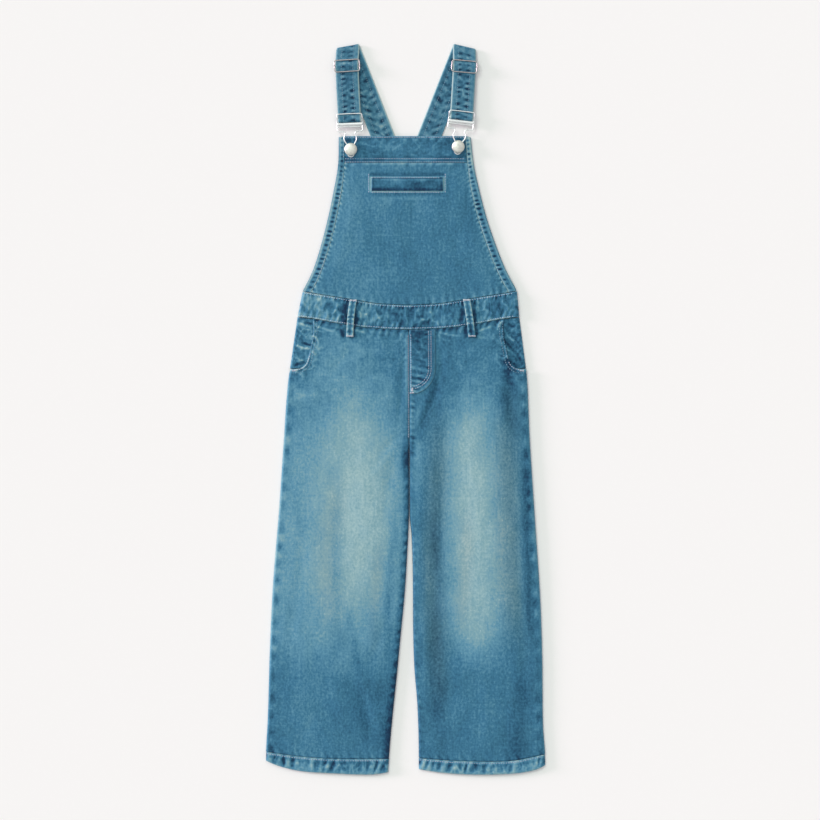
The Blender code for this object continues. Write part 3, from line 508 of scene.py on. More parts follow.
def denim_material():
    """Washed blue denim: twill, slubs, flecks and wear over each piece's own tone."""
    g = Graph(bpy.data.materials.new("washed_denim"))
    weave = g.add("Attribute", {}, "Vector", attribute_name="weave")
    tone = g.add("Attribute", {}, "Fac", attribute_name="tone")
    tint = g.add("Attribute", {}, "Fac", attribute_name="tint")
    mm = g.scaled(weave, (1000.0, 1000.0, 1000.0))
    x, y = (g.add("SeparateXYZ", {0: mm}, axis) for axis in ("X", "Y"))
    wave = g.maths("SINE", g.total(0.0, (x, 7.4), (y, 4.3)), 0.0)
    twill = g.total(0.5, (wave, 0.5))
    slub = g.grain(mm, (0.24, 0.03, 1.0), 1.5)
    weft = g.grain(mm, (0.07, 0.6, 1.0), 1.0)
    speck = g.grain(mm, (0.36, 0.26, 1.0))
    cloud = g.grain(mm, (0.035, 0.022, 1.0), 3.0)
    patterns = ((slub, 0.19), (weft, 0.1), (speck, 0.5), (cloud, 0.27), (twill, 0.03))
    texture = g.total(0.0, *((g.maths("SUBTRACT", pattern, 0.5), amount)
                             for pattern, amount in patterns))
    fleck = g.grain(mm, (0.5, 0.28, 1.0), 1.0)
    shade = g.total(tone, (texture, g.maths("SUBTRACT", 1.55, tone)),
                    (g.maths("GREATER_THAN", fleck, 0.72), 0.12),
                    (g.maths("LESS_THAN", fleck, 0.285), -0.12))
    blue = g.ramp(shade, (0.0, screen(16, 52, 82)), (0.22, screen(34, 85, 114)),
                  (0.5, screen(62, 121, 151)), (0.7, screen(97, 151, 175)),
                  (0.86, screen(130, 171, 182)), (1.0, screen(164, 196, 200)))
    cast = g.ramp(g.grain(mm, (0.055, 0.03, 1.0)), (0.36, (0.975, 0.998, 1.02)),
                  (0.64, (1.01, 1.005, 0.99)))
    blue = g.mixed(1.0, blue, cast, "MULTIPLY")
    dusty = g.mixed(1.0, blue, (1.28, 0.95, 0.82, 1.0), "MULTIPLY")
    height = g.total(0.0, (twill, 0.3), (slub, 0.6), (speck, 0.5))
    return g.finish(Base_Color=g.mixed(tint, blue, dusty), Normal=g.bump(height, 0.5, 0.0003),
                    Roughness=g.total(0.78, (speck, 0.12)), Sheen_Weight=0.12,
                    Sheen_Roughness=0.45, Specular_IOR_Level=0.22)


def thread_material(name, pale, deep):
    """Twisted sewing thread, a little uneven in colour."""
    g, place = new_material(name)
    ply = g.grain(place, (2600.0, 2600.0, 2600.0), 1.0)
    patch = g.grain(place, (90.0, 90.0, 90.0))
    colour = g.ramp(g.total(0.0, (ply, 0.5), (patch, 0.5)), (0.32, deep), (0.68, pale))
    return g.finish(Base_Color=colour, Roughness=g.total(0.55, (ply, 0.2)),
                    Normal=g.bump(ply, 0.5, 0.0002), Sheen_Weight=0.1)


def metal_material(name, bright, dull, roughness, relief):
    """Plated metal with fine scratches and slight clouding."""
    g, place = new_material(name)
    scratch = g.grain(place, (2600.0, 300.0, 900.0))
    cloud = g.grain(place, (240.0, 240.0, 240.0))
    return g.finish(Base_Color=g.ramp(cloud, (0.3, dull), (0.62, bright)), Metallic=1.0,
                    Roughness=g.total(roughness - 0.05, (scratch, 0.1)),
                    Normal=g.bump(scratch, relief, 0.0001))


def floor_material():
    """Smooth warm-white studio floor."""
    g, place = new_material("studio_floor")
    tooth = g.grain(place, (160.0, 160.0, 160.0))
    colour = g.ramp(tooth, (0.2, (0.925, 0.909, 0.902)), (0.8, (0.930, 0.914, 0.907)))
    return g.finish(Base_Color=colour, Roughness=0.9, Specular_IOR_Level=0.0)


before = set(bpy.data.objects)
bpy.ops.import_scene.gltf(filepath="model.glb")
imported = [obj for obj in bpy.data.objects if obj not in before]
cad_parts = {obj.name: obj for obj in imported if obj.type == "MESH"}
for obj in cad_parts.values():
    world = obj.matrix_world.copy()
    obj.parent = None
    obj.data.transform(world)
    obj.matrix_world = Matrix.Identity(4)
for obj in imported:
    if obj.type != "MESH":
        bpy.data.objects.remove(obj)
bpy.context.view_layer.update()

DENIM = denim_material()
SATIN = metal_material("satin_nickel", (0.83, 0.84, 0.77), (0.64, 0.65, 0.60), 0.42, 0.4)
BRIGHT = metal_material("bright_nickel", (0.96, 0.98, 0.97), (0.86, 0.90, 0.90), 0.42, 0.05)
DRAWN = metal_material("drawn_wire", (0.62, 0.57, 0.56), (0.47, 0.43, 0.43), 0.34, 0.3)
LILAC = thread_material("lilac_thread", (0.59, 0.63, 0.74), (0.34, 0.41, 0.55))
TONAL = thread_material("tonal_thread", (0.24, 0.40, 0.50), (0.10, 0.22, 0.32))
TACK = thread_material("bar_tack_thread", (0.66, 0.66, 0.72), (0.42, 0.45, 0.54))
SURFACES = []            # outer faces of the cloth pieces, which the stitches are laid on
STRAP_ROWS = {}          # each strap's mid places, normals, run and bumps, for its stitches


def make_piece(name, nodes, parts, material):
    """A smooth-shaded mesh in millimetres that rides on the garment."""
    vertices, faces = parts
    mesh = bpy.data.meshes.new(name)
    mesh.from_pydata((np.asarray(vertices) * MM).tolist(), [], faces)
    mesh.materials.append(material)
    mesh.shade_smooth()
    piece = bpy.data.objects.new(name, mesh)
    bpy.context.scene.collection.objects.link(piece)
    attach(piece, "root")
    if nodes:
        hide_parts(*nodes)
    return piece


def grid_normals(points):
    """Unit normals of a grid of points."""
    return unit(np.cross(np.gradient(points, axis=1), np.gradient(points, axis=0)))


def cloth(name, node, x, y, z, wall, tone, tint=0.0, weave=None, under=None):
    """A closed cloth wall under the surface x, y, z, with softened free edges.

    A piece whose two faces both show gives the places of its under face.
    """
    outer = np.stack(np.broadcast_arrays(x, y, z), -1).astype(float)
    rows, columns = outer.shape[:2]
    inner = (outer - grid_normals(outer) * wall if under is None else under).reshape(-1, 3)
    outer = outer.reshape(-1, 3)
    total = rows * columns
    index = np.arange(total).reshape(rows, columns)
    edge = np.concatenate([index[0, :-1], index[:-1, -1], index[-1, :0:-1], index[:0:-1, 0]])
    inside = np.pad(index[1:-1, 1:-1], 1, mode="edge").ravel()[edge]
    inward = outer[inside] - outer[edge]
    reach = np.linalg.norm(inward, axis=1, keepdims=True)
    inset = unit(inward) * np.minimum(0.35 * wall, 0.4 * reach)
    rim = 0.5 * (outer[edge] + inner[edge])
    outer[edge] += inset
    inner[edge] += inset
    vertices = np.concatenate([outer, inner, rim])
    vertices[:, 2] = np.maximum(vertices[:, 2], 0.0)

    corners = index[:-1, :-1], index[:-1, 1:], index[1:, 1:], index[1:, :-1]
    face = np.stack([corner.ravel() for corner in corners], 1)
    middle = 2 * total + np.arange(len(edge))
    following, after = np.roll(edge, -1), np.roll(middle, -1)
    upper = np.stack([following, edge, middle, after], 1)
    lower = np.stack([after, middle, edge + total, following + total], 1)
    faces = np.concatenate([face, face[:, ::-1] + total, upper, lower]).tolist()
    piece = make_piece(name, [node], (vertices, faces), DENIM)

    across, up, tone, tint = (np.broadcast_to(part, (rows, columns)).ravel()
                              for part in (*(weave or (x, y)), tone, tint))
    weave = np.stack([across, up, 0.0 * up], -1) * MM
    wrong_side = 0.35 * tone + 0.5 if under is None else tone
    fields = (("weave", "FLOAT_VECTOR", "vector", weave, weave),
              ("tone", "FLOAT", "value", tone, wrong_side),
              ("tint", "FLOAT", "value", tint, 0.0 * tint + 0.4))
    for title, kind, key, face_up, face_down in fields:
        values = np.concatenate([face_up, face_down, face_up[edge]])
        made = piece.data.attributes.new(title, kind, "POINT")
        made.data.foreach_set(key, values.astype(np.float32).ravel())
    if under is None:
        SURFACES.append((outer, face.tolist()))


def rolled(columns, width, roll, crowd=0.0):
    """Distances from the left edge for columns with rolled edges, and their height shares.

    crowd brings the columns closer together beside the edges.
    """
    angle = np.linspace(0.0, math.pi / 2, EDGE_STEPS + 1)
    reach, rise = roll * (1.0 - np.cos(angle)), np.sin(angle)
    width = np.asarray(width, float)[:, None]
    share = crowded(np.linspace(0.0, 1.0, columns + 1)[1:-1], crowd)
    middle = roll + (width - 2.0 * roll) * share
    distance = np.concatenate([reach + 0.0 * width, middle, width - reach[::-1]], 1)
    return distance, np.concatenate([rise, np.ones(columns - 1), rise[::-1]])[None, :]


def crowded(share, crowd):
    """Shares from 0 to 1, brought closer together beside both ends."""
    return share - crowd * np.sin(2.0 * math.pi * share) / (2.0 * math.pi)


def band_lower(x):
    """Height of the waistband's lower edge."""
    return along(BAND_LOWER, np.abs(x - CENTRE_X))


def band_upper(x):
    """Height of the waistband's upper edge."""
    return along(BAND_UPPER, np.abs(x - CENTRE_X))


def meet(edge, line, start):
    """Height where lines of x over y meet a curved edge, closed in on in a few rounds."""
    y = start
    rounds = 8
    for _ in range(rounds):
        y = edge(line(y))
    return y


def leg_edges(side, y):
    """Left and right edge of a leg's front at a height."""
    inner = along(INSEAM[side], y) - HAND[side] * GAP / 2
    return (along(OUTSEAM[side], y), inner)[::HAND[side]]


def leg_lift(side, x, y):
    """Height of a leg's front panel away from its edges."""
    left, right = leg_edges(side, y)
    crown = np.sin(math.pi * np.clip((x - left) / (right - left), 0.0, 1.0)) ** 0.8
    swell = 0.12 * noise(x, 0.45 * y, 34.0, 11) + 0.05 * noise(x, 0.5 * y, 13.0, 12)
    flat = mix(along(LEG_LIFT, y, 2), along(LEG_LIFT, y, 1), crown)
    return flat + crease_sum(LEG_FOLDS[side], x, y) + swell


def mouth_line(side):
    """The pocket's mouth, from its top to the side seam."""
    return curve([(OUTSEAM[side][0][1] + HAND[side] * x, y) for x, y in SCOOP], 1.6)


def leg_tone(side, x, y):
    """Tone of a leg's denim, from its worn front to its dark edges, some of them painted shade."""
    centre, half_left, half_right, strength, rest = (along(LEG_FADE[side], y, column)
                                                     for column in range(1, 6))
    aside = np.where(x < centre, (centre - x) / half_left, (x - centre) / half_right)
    wobble = 0.06 * noise(x, 0.6 * y, 34.0, 21) + 0.02 * noise(x, y, 11.0, 22)
    fade = strength * (rest + (1.0 - rest) * smooth(1.0 - aside + wobble))
    mottle = 0.05 * noise(x, y, 8.0, 24) + 0.05 * noise(x, 0.8 * y, 5.0, 25)
    return (0.5 + fade + crease_sum(LEG_SHADES[side], x, y, 31)
            + mottle * (0.3 + 0.7 * smooth((y + 30.0) / 80.0))
            - 0.045 * smooth((-300.0 - y) / 90.0)
            - pick(side, 0.0, 0.02) * smooth((40.0 + y) / 60.0))


def leg_grid(side, mouth):
    """Places of a leg's front panel, heights of its rolled edges, and its outer edge."""
    hand = HAND[side]
    seam_y = np.arange(LEG_FOOT_Y, mouth[0][1] - 1.0, 2.0)
    seam = np.stack([along(OUTSEAM[side], seam_y), seam_y], 1)
    outer = np.concatenate([curve(seam, 2.3)[:-1], curve(mouth, 1.1)])
    # The rows' inner ends follow the outer ones, evened out over a window of rows.
    window = 37
    padded = np.pad(outer[:, 1], window // 2, mode="reflect", reflect_type="odd")
    inner_y = np.convolve(padded, np.ones(window) / window, "valid")
    inner = np.stack([leg_edges(side, inner_y)[::hand][1], inner_y], 1)
    left, right = (outer, inner)[::hand]
    distance, height = rolled(98, (right - left)[:, 0], LEG_ROLL, 0.6)
    share = distance / (right - left)[:, :1]
    x = mix(left[:, :1], right[:, :1], share)
    y = mix(left[:, 1:], right[:, 1:], share)
    up = up_rows(len(outer))
    top = band_lower(x[-1]) - GAP
    foot = along(HEM_STITCH[side], share[0]) + GAP
    y = y + smooth((up - 0.86) / 0.14) * (top - y[-1]) + fall(up, 0.08) * (foot - y[0])
    return x, y, share, height, outer


def front_leg(side):
    """Front leg panel with its scooped, stitched pocket mouth."""
    hand = HAND[side]
    mouth = mouth_line(side)[::-1]
    x, y, share, height, outer = leg_grid(side, mouth)
    away, run = near(x, y, mouth)
    edges = leg_edges(side, y)
    to_outer, to_inner = (x - edges[0], edges[1] - x)[::hand]
    below = band_lower(x) - y
    above_hem = y - along(HEM_STITCH[side], share)
    beside_mouth = smooth((outer[:, 1:] - 49.0) / 2.5)
    # Below the crotch the inner edge is turned down too.
    parted = smooth((CROTCH_Y - y) / (CROTCH_Y - SPLIT_Y))
    sewn = 1.0 - parted
    near_outer = (np.arange(x.shape[1]) < x.shape[1] / 2)[::hand]
    turned = np.where(near_outer, 1.0 - beside_mouth, parted)

    gather = (0.5 * pucker(run, away - 3.2, 8.5, 4.0, 0.5, 4)
              + 0.65 * crease_sum(POCKET_CREASES[side], x, y, 43))
    web = crinkle(x, y, 10.0, 41) * smooth((20.0 - away) / 13.0)
    lip = 0.35 * bell(away - 1.2, 1.3) - 0.35 * bell(away - 3.0, 0.7)
    pull = (0.45 * pucker(x, below - 2.0, 9.5, 7.0, 0.3, 6)
            + 0.22 * crinkle(x, 0.8 * y, 13.0, 45) * smooth((30.0 - below) / 24.0))
    seam_gather = (pucker(y, to_outer - 6.0, 24.0, 3.6, 0.2, pick(side, 8, 9))
                   * smooth((44.0 - y) / 20.0))
    crotch = (pucker(y, to_inner - 4.4, 7.4, 3.0, 0.35, 13) * sewn * pick(side, 0.15, 1.0)
              * (0.8 + 0.6 * noise(x, y, 16.0, 18))
              * smooth(pick(side, (95.0 - y) / 20.0, (30.0 - y) / 12.0)))
    ridge = bell(to_inner - 3.0, 1.6) * sewn
    inner_gather = (pucker(y, to_inner - 3.0, 14.0, 2.6, 0.3, pick(side, 16, 17)) * parted
                    * pick(side, 1.0, 0.5))
    hem_pull = 0.2 * pucker(x, above_hem, 11.0, 7.0, 0.5, 7)
    lift = leg_lift(side, x, y)
    z = (lift + gather + lip + pull + 0.3 * seam_gather + 0.25 * inner_gather + 0.55 * crotch
         + 0.25 * ridge + hem_pull + 0.3 * web - mix(0.7, lift, turned) * (1.0 - height))

    # Painted shade in the tone below: painted shadow under the waistband's edge and in the centre
    # seam's groove between the legs, and painted shade along the legs' inner edges below the crotch,
    # strongest on the left leg.
    low_lip = (0.12 + 0.88 * smooth((74.0 - y) / 14.0)) * pick(side, 0.5, 0.34)
    seam_shadow_share = pick(side, smooth((-30.0 - y) / 24.0), 0.0)
    tone = (leg_tone(side, x, y) + 0.4 * gather + low_lip * bell(away, 1.0) + 0.3 * web
            + 0.6 * pull - 0.2 * bell(below - 1.3, 1.8) + 0.22 * seam_gather
            + 0.3 * inner_gather - 0.07 * bell(to_outer - 6.0, 4.0)
            + 0.18 * bell(to_outer, 2.0) * (1.0 - beside_mouth) + 0.7 * crotch + 0.1 * ridge
            + 0.9 * hem_pull - 0.3 * bell(to_inner - 0.4, 0.9) * sewn * seam_shadow_share
            - pick(side, 0.4, 0.06) * bell(to_inner - 1.0, 6.5) * parted
            - 0.12 * bell(above_hem, 1.4))
    grey = np.clip(crease_sum(GREY_ZONES[side], x, y, 37), 0.0, 1.0)
    cloth(f"leg_front_{side}", f"front_leg_{side}", x, y, z, WALL, tone, grey)


def pocket_facing(side):
    """Crumpled cloth seen inside the scooped pocket."""
    mouth = [(y, x) for x, y in SCOOP[1:6]]
    angle = np.linspace(0.0, math.pi / 2, EDGE_STEPS + 1)[:-1]
    share = np.concatenate([np.zeros(EDGE_STEPS), np.linspace(0.0, 1.0, 33)])[None, :]
    height = np.concatenate([np.sin(angle), np.ones(33)])[None, :]
    reach = np.concatenate([1.0 - np.cos(angle), np.ones(33)])[None, :]

    def line(y):
        """Places across the facing at a height."""
        edge = along(OUTSEAM[side], y)
        width = np.abs(OUTSEAM[side][0][1] - edge) + along(mouth, y) + MOUTH_OVERLAP
        return edge + HAND[side] * mix(reach * LEG_ROLL, width, share)

    y = mix(POCKET_FOOT_Y + 0.6, meet(band_lower, line, 112.0) - GAP - 0.2, up_rows(64))
    x = line(y)
    distance = np.abs(x - along(OUTSEAM[side], y))
    seed = pick(side, 51, 57)
    fold = (0.45 * crinkle(x, 1.3 * y, 10.0, seed) + 0.3 * crinkle(x, 1.2 * y, 5.5, seed + 2)
            + crease_sum(POCKET_CREASES[side], x, y, 43))
    fine = pucker(y, distance - 4.0, 7.0, 4.0, 0.8, seed)
    z = FACING_HEIGHT * height + np.minimum(0.55 * fold + 0.4 * fine, 0.6) * height
    tone = (pick(side, 0.5, 0.39) + pick(side, 0.46, 0.34) * fold + 0.16 * fine
            + 0.16 * bell(distance, 2.0)
            + pick(side, 0.26, 0.05) * bell(x + 122.0, 8.0) * bell(y - 80.0, 16.0))
    x, y, z, tone = (part[:, ::HAND[side]] for part in (x, y, z, tone))
    cloth(f"pocket_lining_{side}", f"pocket_facing_{side}", x, y, z, WALL, tone)


def leg_hem(side):
    """Turned hem, roped by its stitching."""
    left, right = leg_edges(side, -100.0)
    distance, height = rolled(150, [right - left], LEG_ROLL + 0.6)
    share = distance[0] / (right - left)
    foot, top = along(HEM_EDGE[side], share), along(HEM_STITCH[side], share)
    y = mix(foot, top - GAP, up_rows(17))
    x = mix(*leg_edges(side, y), share)
    away, depth = top - y, top - foot
    seed = pick(side, 61, 66)
    body = bell(away - 0.45 * depth, 0.42 * depth)
    rope = ripple(x + 0.3 * away + 4.5 * noise(x, 0.5 * y, 17.0, seed), 11.0, 0.7 * seed)
    rope = (0.7 * rope * (0.8 + 0.8 * noise(x, 0.0, 19.0, seed + 1))
            + 0.6 * crinkle(x, 0.45 * y, 8.0, seed + 4))
    lift = (leg_lift(side, x, y) + 0.45 + 0.5 * rope * body - 0.4 * bell(away - 2.0, 0.8)
            + 0.15 * crinkle(x, y, 6.0, seed + 2) * body)
    z = (lift - 0.9 * fall(depth - away, 2.2)) * height
    tone = (pick(side, 0.64, 0.695) + split(rope, 0.34, 0.62) * body
            + 0.2 * bell(depth - away, 2.0) - 0.14 * bell(away - 5.0, 1.8)
            + 0.16 * bell(away - 0.3, 0.9) + 0.14 * crinkle(x, y, 6.0, seed + 3))
    cloth(f"hem_{side}", f"leg_hem_{side}", x, y, z, DOUBLE, tone)


def back_leg(side):
    """Back leg panel, lying flat under the front one."""
    share = across_columns(41)

    def line(y):
        """Places across the panel at a height."""
        outer = BACK_INSET + HEM_INSET * smooth((-412.0 - y) / 16.0)
        inner = outer * smooth((-8.0 - y) / 30.0)
        left, right = leg_edges(side, y)
        inset = (outer, inner)[::HAND[side]]
        return mix(left + inset[0], right - inset[1], share)

    foot = along(HEM_EDGE[side], 0.03 + 0.94 * share) + 0.6
    y = mix(foot, meet(band_lower, line, 108.0) - SEAM, up_rows(121))
    x = line(y)
    seed = pick(side, 71, 75)
    wave = 0.14 * noise(x, 0.4 * y, 30.0, seed) + 0.06 * crinkle(x, 0.5 * y, 40.0, seed + 1)
    tone = 0.47 + 0.12 * bell(np.hypot(x - np.mean(x), y + 30.0), 110.0)
    cloth(f"leg_back_{side}", f"back_leg_{side}", x, y, WALL + wave, WALL, tone)


def waist_lift(x, y):
    """Height of the waistband without its puckers."""
    return WAIST_HEIGHT - 0.02 * np.abs(y - 0.5 * (band_lower(x) + band_upper(x)))


def waist_ends(up, inset=0.0):
    """Left and right end of the waistband at shares of its height."""
    left, right = (along(BAND_END[side], mix(*BAND_END_Y, up)) for side in SIDES)
    return left + inset, right - inset


def back_waistband():
    """Plain waistband of the back."""
    up = up_rows(7)
    x = mix(*waist_ends(up, BAND_INSET), across_columns(71))
    y = mix(band_lower(x), band_upper(x), up)
    wave = 0.12 * noise(x, y, 16.0, 81)
    cloth("waist_back", "back_waistband", x, y, DOUBLE + wave, DOUBLE, 0.47)


def front_waistband():
    """Waistband of the front, gathered by its stitching."""
    up = up_rows(31)
    left, right = waist_ends(up)
    distance, height = rolled(280, (right - left)[:, 0], BAND_ROLL)
    x = left + distance
    y = mix(band_lower(x), band_upper(x), up)
    depth = band_upper(x) - band_lower(x)
    low, high = up * depth, (1.0 - up) * depth
    tight = pucker(x, high - 3.2, 5.4, 3.0, 0.2, 83)
    loose = pucker(x, low - 5.0, 8.4, 5.5, -0.35, 84)
    web = crinkle(x + 2.5 * noise(x, y, 22.0, 85), 0.55 * y, 8.0, 86)
    middle = bell(high - 0.5 * depth, 0.36 * depth)
    groove = bell(high - 1.9, 0.7) + bell(low - 1.9, 0.7)
    z = height * (waist_lift(x, y) + 0.25 + 0.55 * tight + 0.8 * loose + 0.7 * web * middle
                  - 0.3 * groove - 0.45 * (fall(high, 1.2) + fall(low, 1.2)))
    aside = x - CENTRE_X
    calm = 1.0 - 0.7 * smooth((-aside - 88.0) / 18.0) - 0.18 * smooth((aside - 60.0) / 30.0)
    lines = split(web, 0.46, 0.2) * middle
    tone = (0.42 + calm * (0.36 * tight + 0.24 * loose + lines) + 0.09 * noise(x, y, 17.0, 87)
            + 0.12 * noise(x, y, 5.5, 88) + 0.16 * noise(x, 0.6 * y, 2.9, 89)
            + 0.26 * bell(high - 0.4, 1.5) + 0.24 * bell(low - 0.4, 1.5) - 0.04 * groove
            - 0.24 * needle_marks(x, high - 3.2, 1.6) - 0.16 * needle_marks(x, low - 3.1)
            + crease_sum(WAIST_SHADES, x, y, 33) + 0.22 * smooth((-aside - 98.0) / 16.0)
            + 0.06 * smooth((aside - 112.0) / 14.0))
    cloth("waist_front", "front_waistband", x, y, z, DOUBLE, tone)


def back_bib():
    """Back bib, flat under the front one."""
    share = across_columns(51)

    def line(y):
        """Places across the back bib at a height."""
        half = along(YOKE, y)
        return mix(-half, half, share) + YOKE_LEAN * (300.0 - y)

    y = mix(meet(band_upper, line, 140.0) + SEAM, YOKE_TOP_Y - SEAM, up_rows(61))
    x = line(y)
    wave = 0.13 * noise(x, 0.6 * y, 24.0, 91) + 0.06 * crinkle(x, y, 34.0, 92)
    cloth("bib_back", "back_bib", x, y, WALL + wave, WALL, 0.47 + 0.05 * noise(x, y, 40.0, 93))


def hem_width(side, y):
    """Sideways width of the bib's side hem where its edge slants."""
    slope = (along(BIB_EDGE[side], y + 4.0) - along(BIB_EDGE[side], y - 4.0)) / 8.0
    return along(BIB_HEM_WIDTH, y) * np.hypot(1.0, slope)


def hem_line(side, share, y):
    """Place across the bib's side hem, from its free edge to the panel."""
    return along(BIB_EDGE[side], y) + HAND[side] * share * hem_width(side, y)


def bib_panel_edges(y):
    """Left and right edge of the bib's panel, inside its side hems."""
    return [hem_line(side, 1.0, y) + HAND[side] * GAP for side in SIDES]


def bib_lift(x, y):
    """Height of the bib: low at its free sides, higher over the back bib and the waist."""
    aside = np.minimum(x - along(BIB_EDGE["left"], y), along(BIB_EDGE["right"], y) - x)
    return 2.6 + 1.5 * smooth(aside / 30.0) + 0.7 * smooth((215.0 - y) / 65.0)


def bib():
    """Bib panel between its hems, from the waistband to the top band."""
    share = crowded(across_columns(151), 0.4)

    def line(y):
        """Places across the panel at a height."""
        return mix(*bib_panel_edges(y), share)

    y = mix(meet(band_upper, line, 140.0) + GAP, BAND_FOOT_Y - GAP, up_rows(131))
    x = line(y)
    left, right = bib_panel_edges(y)
    above, under = y - band_upper(x), BAND_FOOT_Y - y
    sides = pucker(y, x - left, 5.8, 3.6, 0.5, 101) + pucker(y, right - x, 5.8, 3.6, 0.5, 102)
    waist = pucker(x, above - 2.0, 10.0, 7.0, 0.2, 103)
    tug = pucker(x, under - 1.0, 12.0, 5.0, 0.2, 104)
    welt_x = np.maximum(WELT[0] - x, x - WELT[2])
    below_welt, above_welt = WELT[1] - y, y - WELT[3]
    welt_y = np.maximum(below_welt, above_welt)
    welt_away = np.hypot(np.maximum(welt_x, 0.0), np.maximum(welt_y, 0.0))
    z = (bib_lift(x, y) + 0.16 * noise(x, 0.5 * y, 30.0, 105)
         + 0.06 * noise(x, 0.6 * y, 11.0, 106) + crease_sum(BIB_FOLDS, x, y) + 0.28 * sides
         + 0.18 * waist + 0.2 * tug - 0.12 * bell(under, 1.6) - 0.12 * bell(welt_away - 2.5, 2.2))
    off_centre = smooth((np.abs(x - CENTRE_X) - 18.0) / 30.0)
    beside = fall(np.maximum(welt_x, 0.0), 2.0)
    marks = needle_marks(x, above_welt - 1.2, 0.8) + needle_marks(x, below_welt - 2.9, 1.1)
    around_welt = (0.07 * bell(above_welt - 9.5, 3.0) - 0.2 * bell(above_welt - 3.4, 2.4)
                   - 0.3 * marks + 0.08 * bell(below_welt - 9.0, 2.5))
    tone = (0.52 - 0.035 * smooth((x + 60.0) / 130.0) + crease_sum(BIB_SHADES, x, y, 35)
            + 0.03 * noise(x, y, 36.0, 107) + 0.42 * sides + 0.22 * waist
            + split(tug, 0.12, 0.34) + (0.16 * off_centre - 0.05) * bell(above, 3.0)
            + 0.15 * bell(x - left, 2.4) + 0.15 * bell(right - x, 3.2)
            + 0.26 * bell(under - 1.2, 1.8) + around_welt * beside
            + 0.42 * bell(welt_away - 0.7, 1.4) * fall(above_welt, 1.5)
            + 0.2 * bell(welt_x - 3.2, 1.0) * fall(np.maximum(welt_y, 0.0), 4.0))
    cloth("bib_front", "bib", x, y, z, WALL, tone)


def bib_top_band():
    """Folded band along the bib's top, between the side hems."""
    y = mix(BAND_FOOT_Y, BIB_TOP_Y, up_rows(41))
    x = mix(*bib_panel_edges(y), across_columns(141))
    up, down = y - BAND_FOOT_Y, BIB_TOP_Y - y
    stitched = pucker(x, up - 8.2, 10.5, 2.2, 0.2, 111)
    ticks = pucker(x, down - 5.0, 12.5, 3.0, 0.1, 112)
    lines = noise(0.22 * x, y, 5.0, 113)
    grooves = bell(up - 0.9, 0.6) + bell(up - 5.0, 0.7)
    to_button = np.minimum(*(np.hypot(x - at_x, y - at_y) for at_x, at_y in
                             (STRAPS[side]["button"] for side in SIDES)))
    z = (bib_lift(x, y) + 0.15 + 0.15 * stitched + 0.15 * ticks + 0.1 * lines * bell(up - 18.0, 9.0)
         - 0.15 * grooves + 0.08 * bell(up - 3.0, 1.0) - 0.9 * fall(down, 1.6)
         - 0.25 * fall(up, 0.9) - 0.5 * bell(to_button, 9.0))
    marks = needle_marks(x, up - 2.9, 1.0) + needle_marks(x + 1.5, up - 7.4, 1.2)
    tone = (0.46 + 0.12 * stitched + split(ticks, 0.1, 0.26) + 0.12 * lines
            + 0.14 * crinkle(x, 1.6 * y, 12.0, 114) + 0.34 * bell(down, 1.2)
            + 0.06 * bell(up - 10.6, 1.6) + 0.26 * bell(up, 1.3) - 0.24 * marks - 0.04 * grooves
            - 0.1 * bell(to_button - 11.0, 5.0))
    cloth("bib_band", "bib_top_band", x, y, z, DOUBLE, tone)


def bib_hem(side):
    """Turned side edge of the bib, puckered along its stitching."""
    share = across_columns(12)[:, ::HAND[side]]
    foot = meet(band_upper, lambda y: hem_line(side, share, y), 148.0) + GAP
    y = mix(foot, BIB_TOP_Y - 1.6 * (1.0 - share) ** 2, up_rows(200))
    x = hem_line(side, share, y)
    width = hem_width(side, y)
    aside = share * width
    inner = width - aside
    seed = pick(side, 121, 124)
    knot = (pucker(y, aside - 0.65 * width, 5.9, 0.24 * along(BIB_HEM_WIDTH, y), 0.15, seed)
            * (0.8 + 0.2 * smooth((BIB_TOP_Y - 16.0 - y) / 20.0))
            * (0.75 + 0.5 * noise(0.0, y, 15.0, seed + 1)))
    z = (bib_lift(x, y) + 0.3 + 0.6 * knot - 0.9 * fall(aside, 1.5)
         - 0.25 * bell(inner - 1.2, 0.7) - 0.7 * fall(BIB_TOP_Y - y, 1.4))
    tone = (0.49 + split(knot, 0.3, 1.7) + pick(side, 0.42, 0.24) * bell(aside - 2.3, 1.7)
            + 0.34 * bell(inner, 2.6) + 0.14 * bell(BIB_TOP_Y - y, 1.4)
            + pick(side, -0.24 * bell(y - 315.0, 17.0),
                   0.24 * bell(aside - 2.0, 2.6) * smooth((y - 298.0) / 14.0)))
    tint = 0.4 * bell(aside, 3.0) + 0.3 * bell(inner, 3.0)
    cloth(f"bib_edge_{side}", f"bib_hem_{side}", x, y, z, DOUBLE, tone, tint, (aside, y))


def bib_welt():
    """Welt of the bib's pocket, lying on the panel."""
    x = mix(WELT[0], WELT[2], across_columns(91))
    y = mix(WELT[1], WELT[3], up_rows(27))
    low, high = y - WELT[1], WELT[3] - y
    ends = np.minimum(x - WELT[0], WELT[2] - x)
    crumple = noise(0.35 * x, y, 5.5, 131) + 0.5 * crinkle(x, y, 9.0, 132)
    turned = np.minimum(fall(high, 1.3) + fall(low, 1.1) + fall(ends, 1.1), 1.0)
    z = (bib_lift(x, y) + GAP + 0.1 + WALL + 0.16 * crumple * bell(ends, 60.0) - 0.7 * turned
         - 0.3 * bell(high - 2.3, 0.8))
    tone = (0.36 + 0.17 * crumple + 0.34 * bell(high, 1.0) + 0.2 * bell(low, 0.6)
            + 0.16 * bell(high - 3.8, 1.0) - 0.14 * needle_marks(x, high - 1.6, 1.0)
            + 0.5 * bell(ends, 0.9) - 0.26 * bell(low - 1.7, 1.8) - 0.2 * bell(ends - 2.6, 1.3))
    cloth("pocket_welt", "bib_welt", x, y, z, WALL, tone)


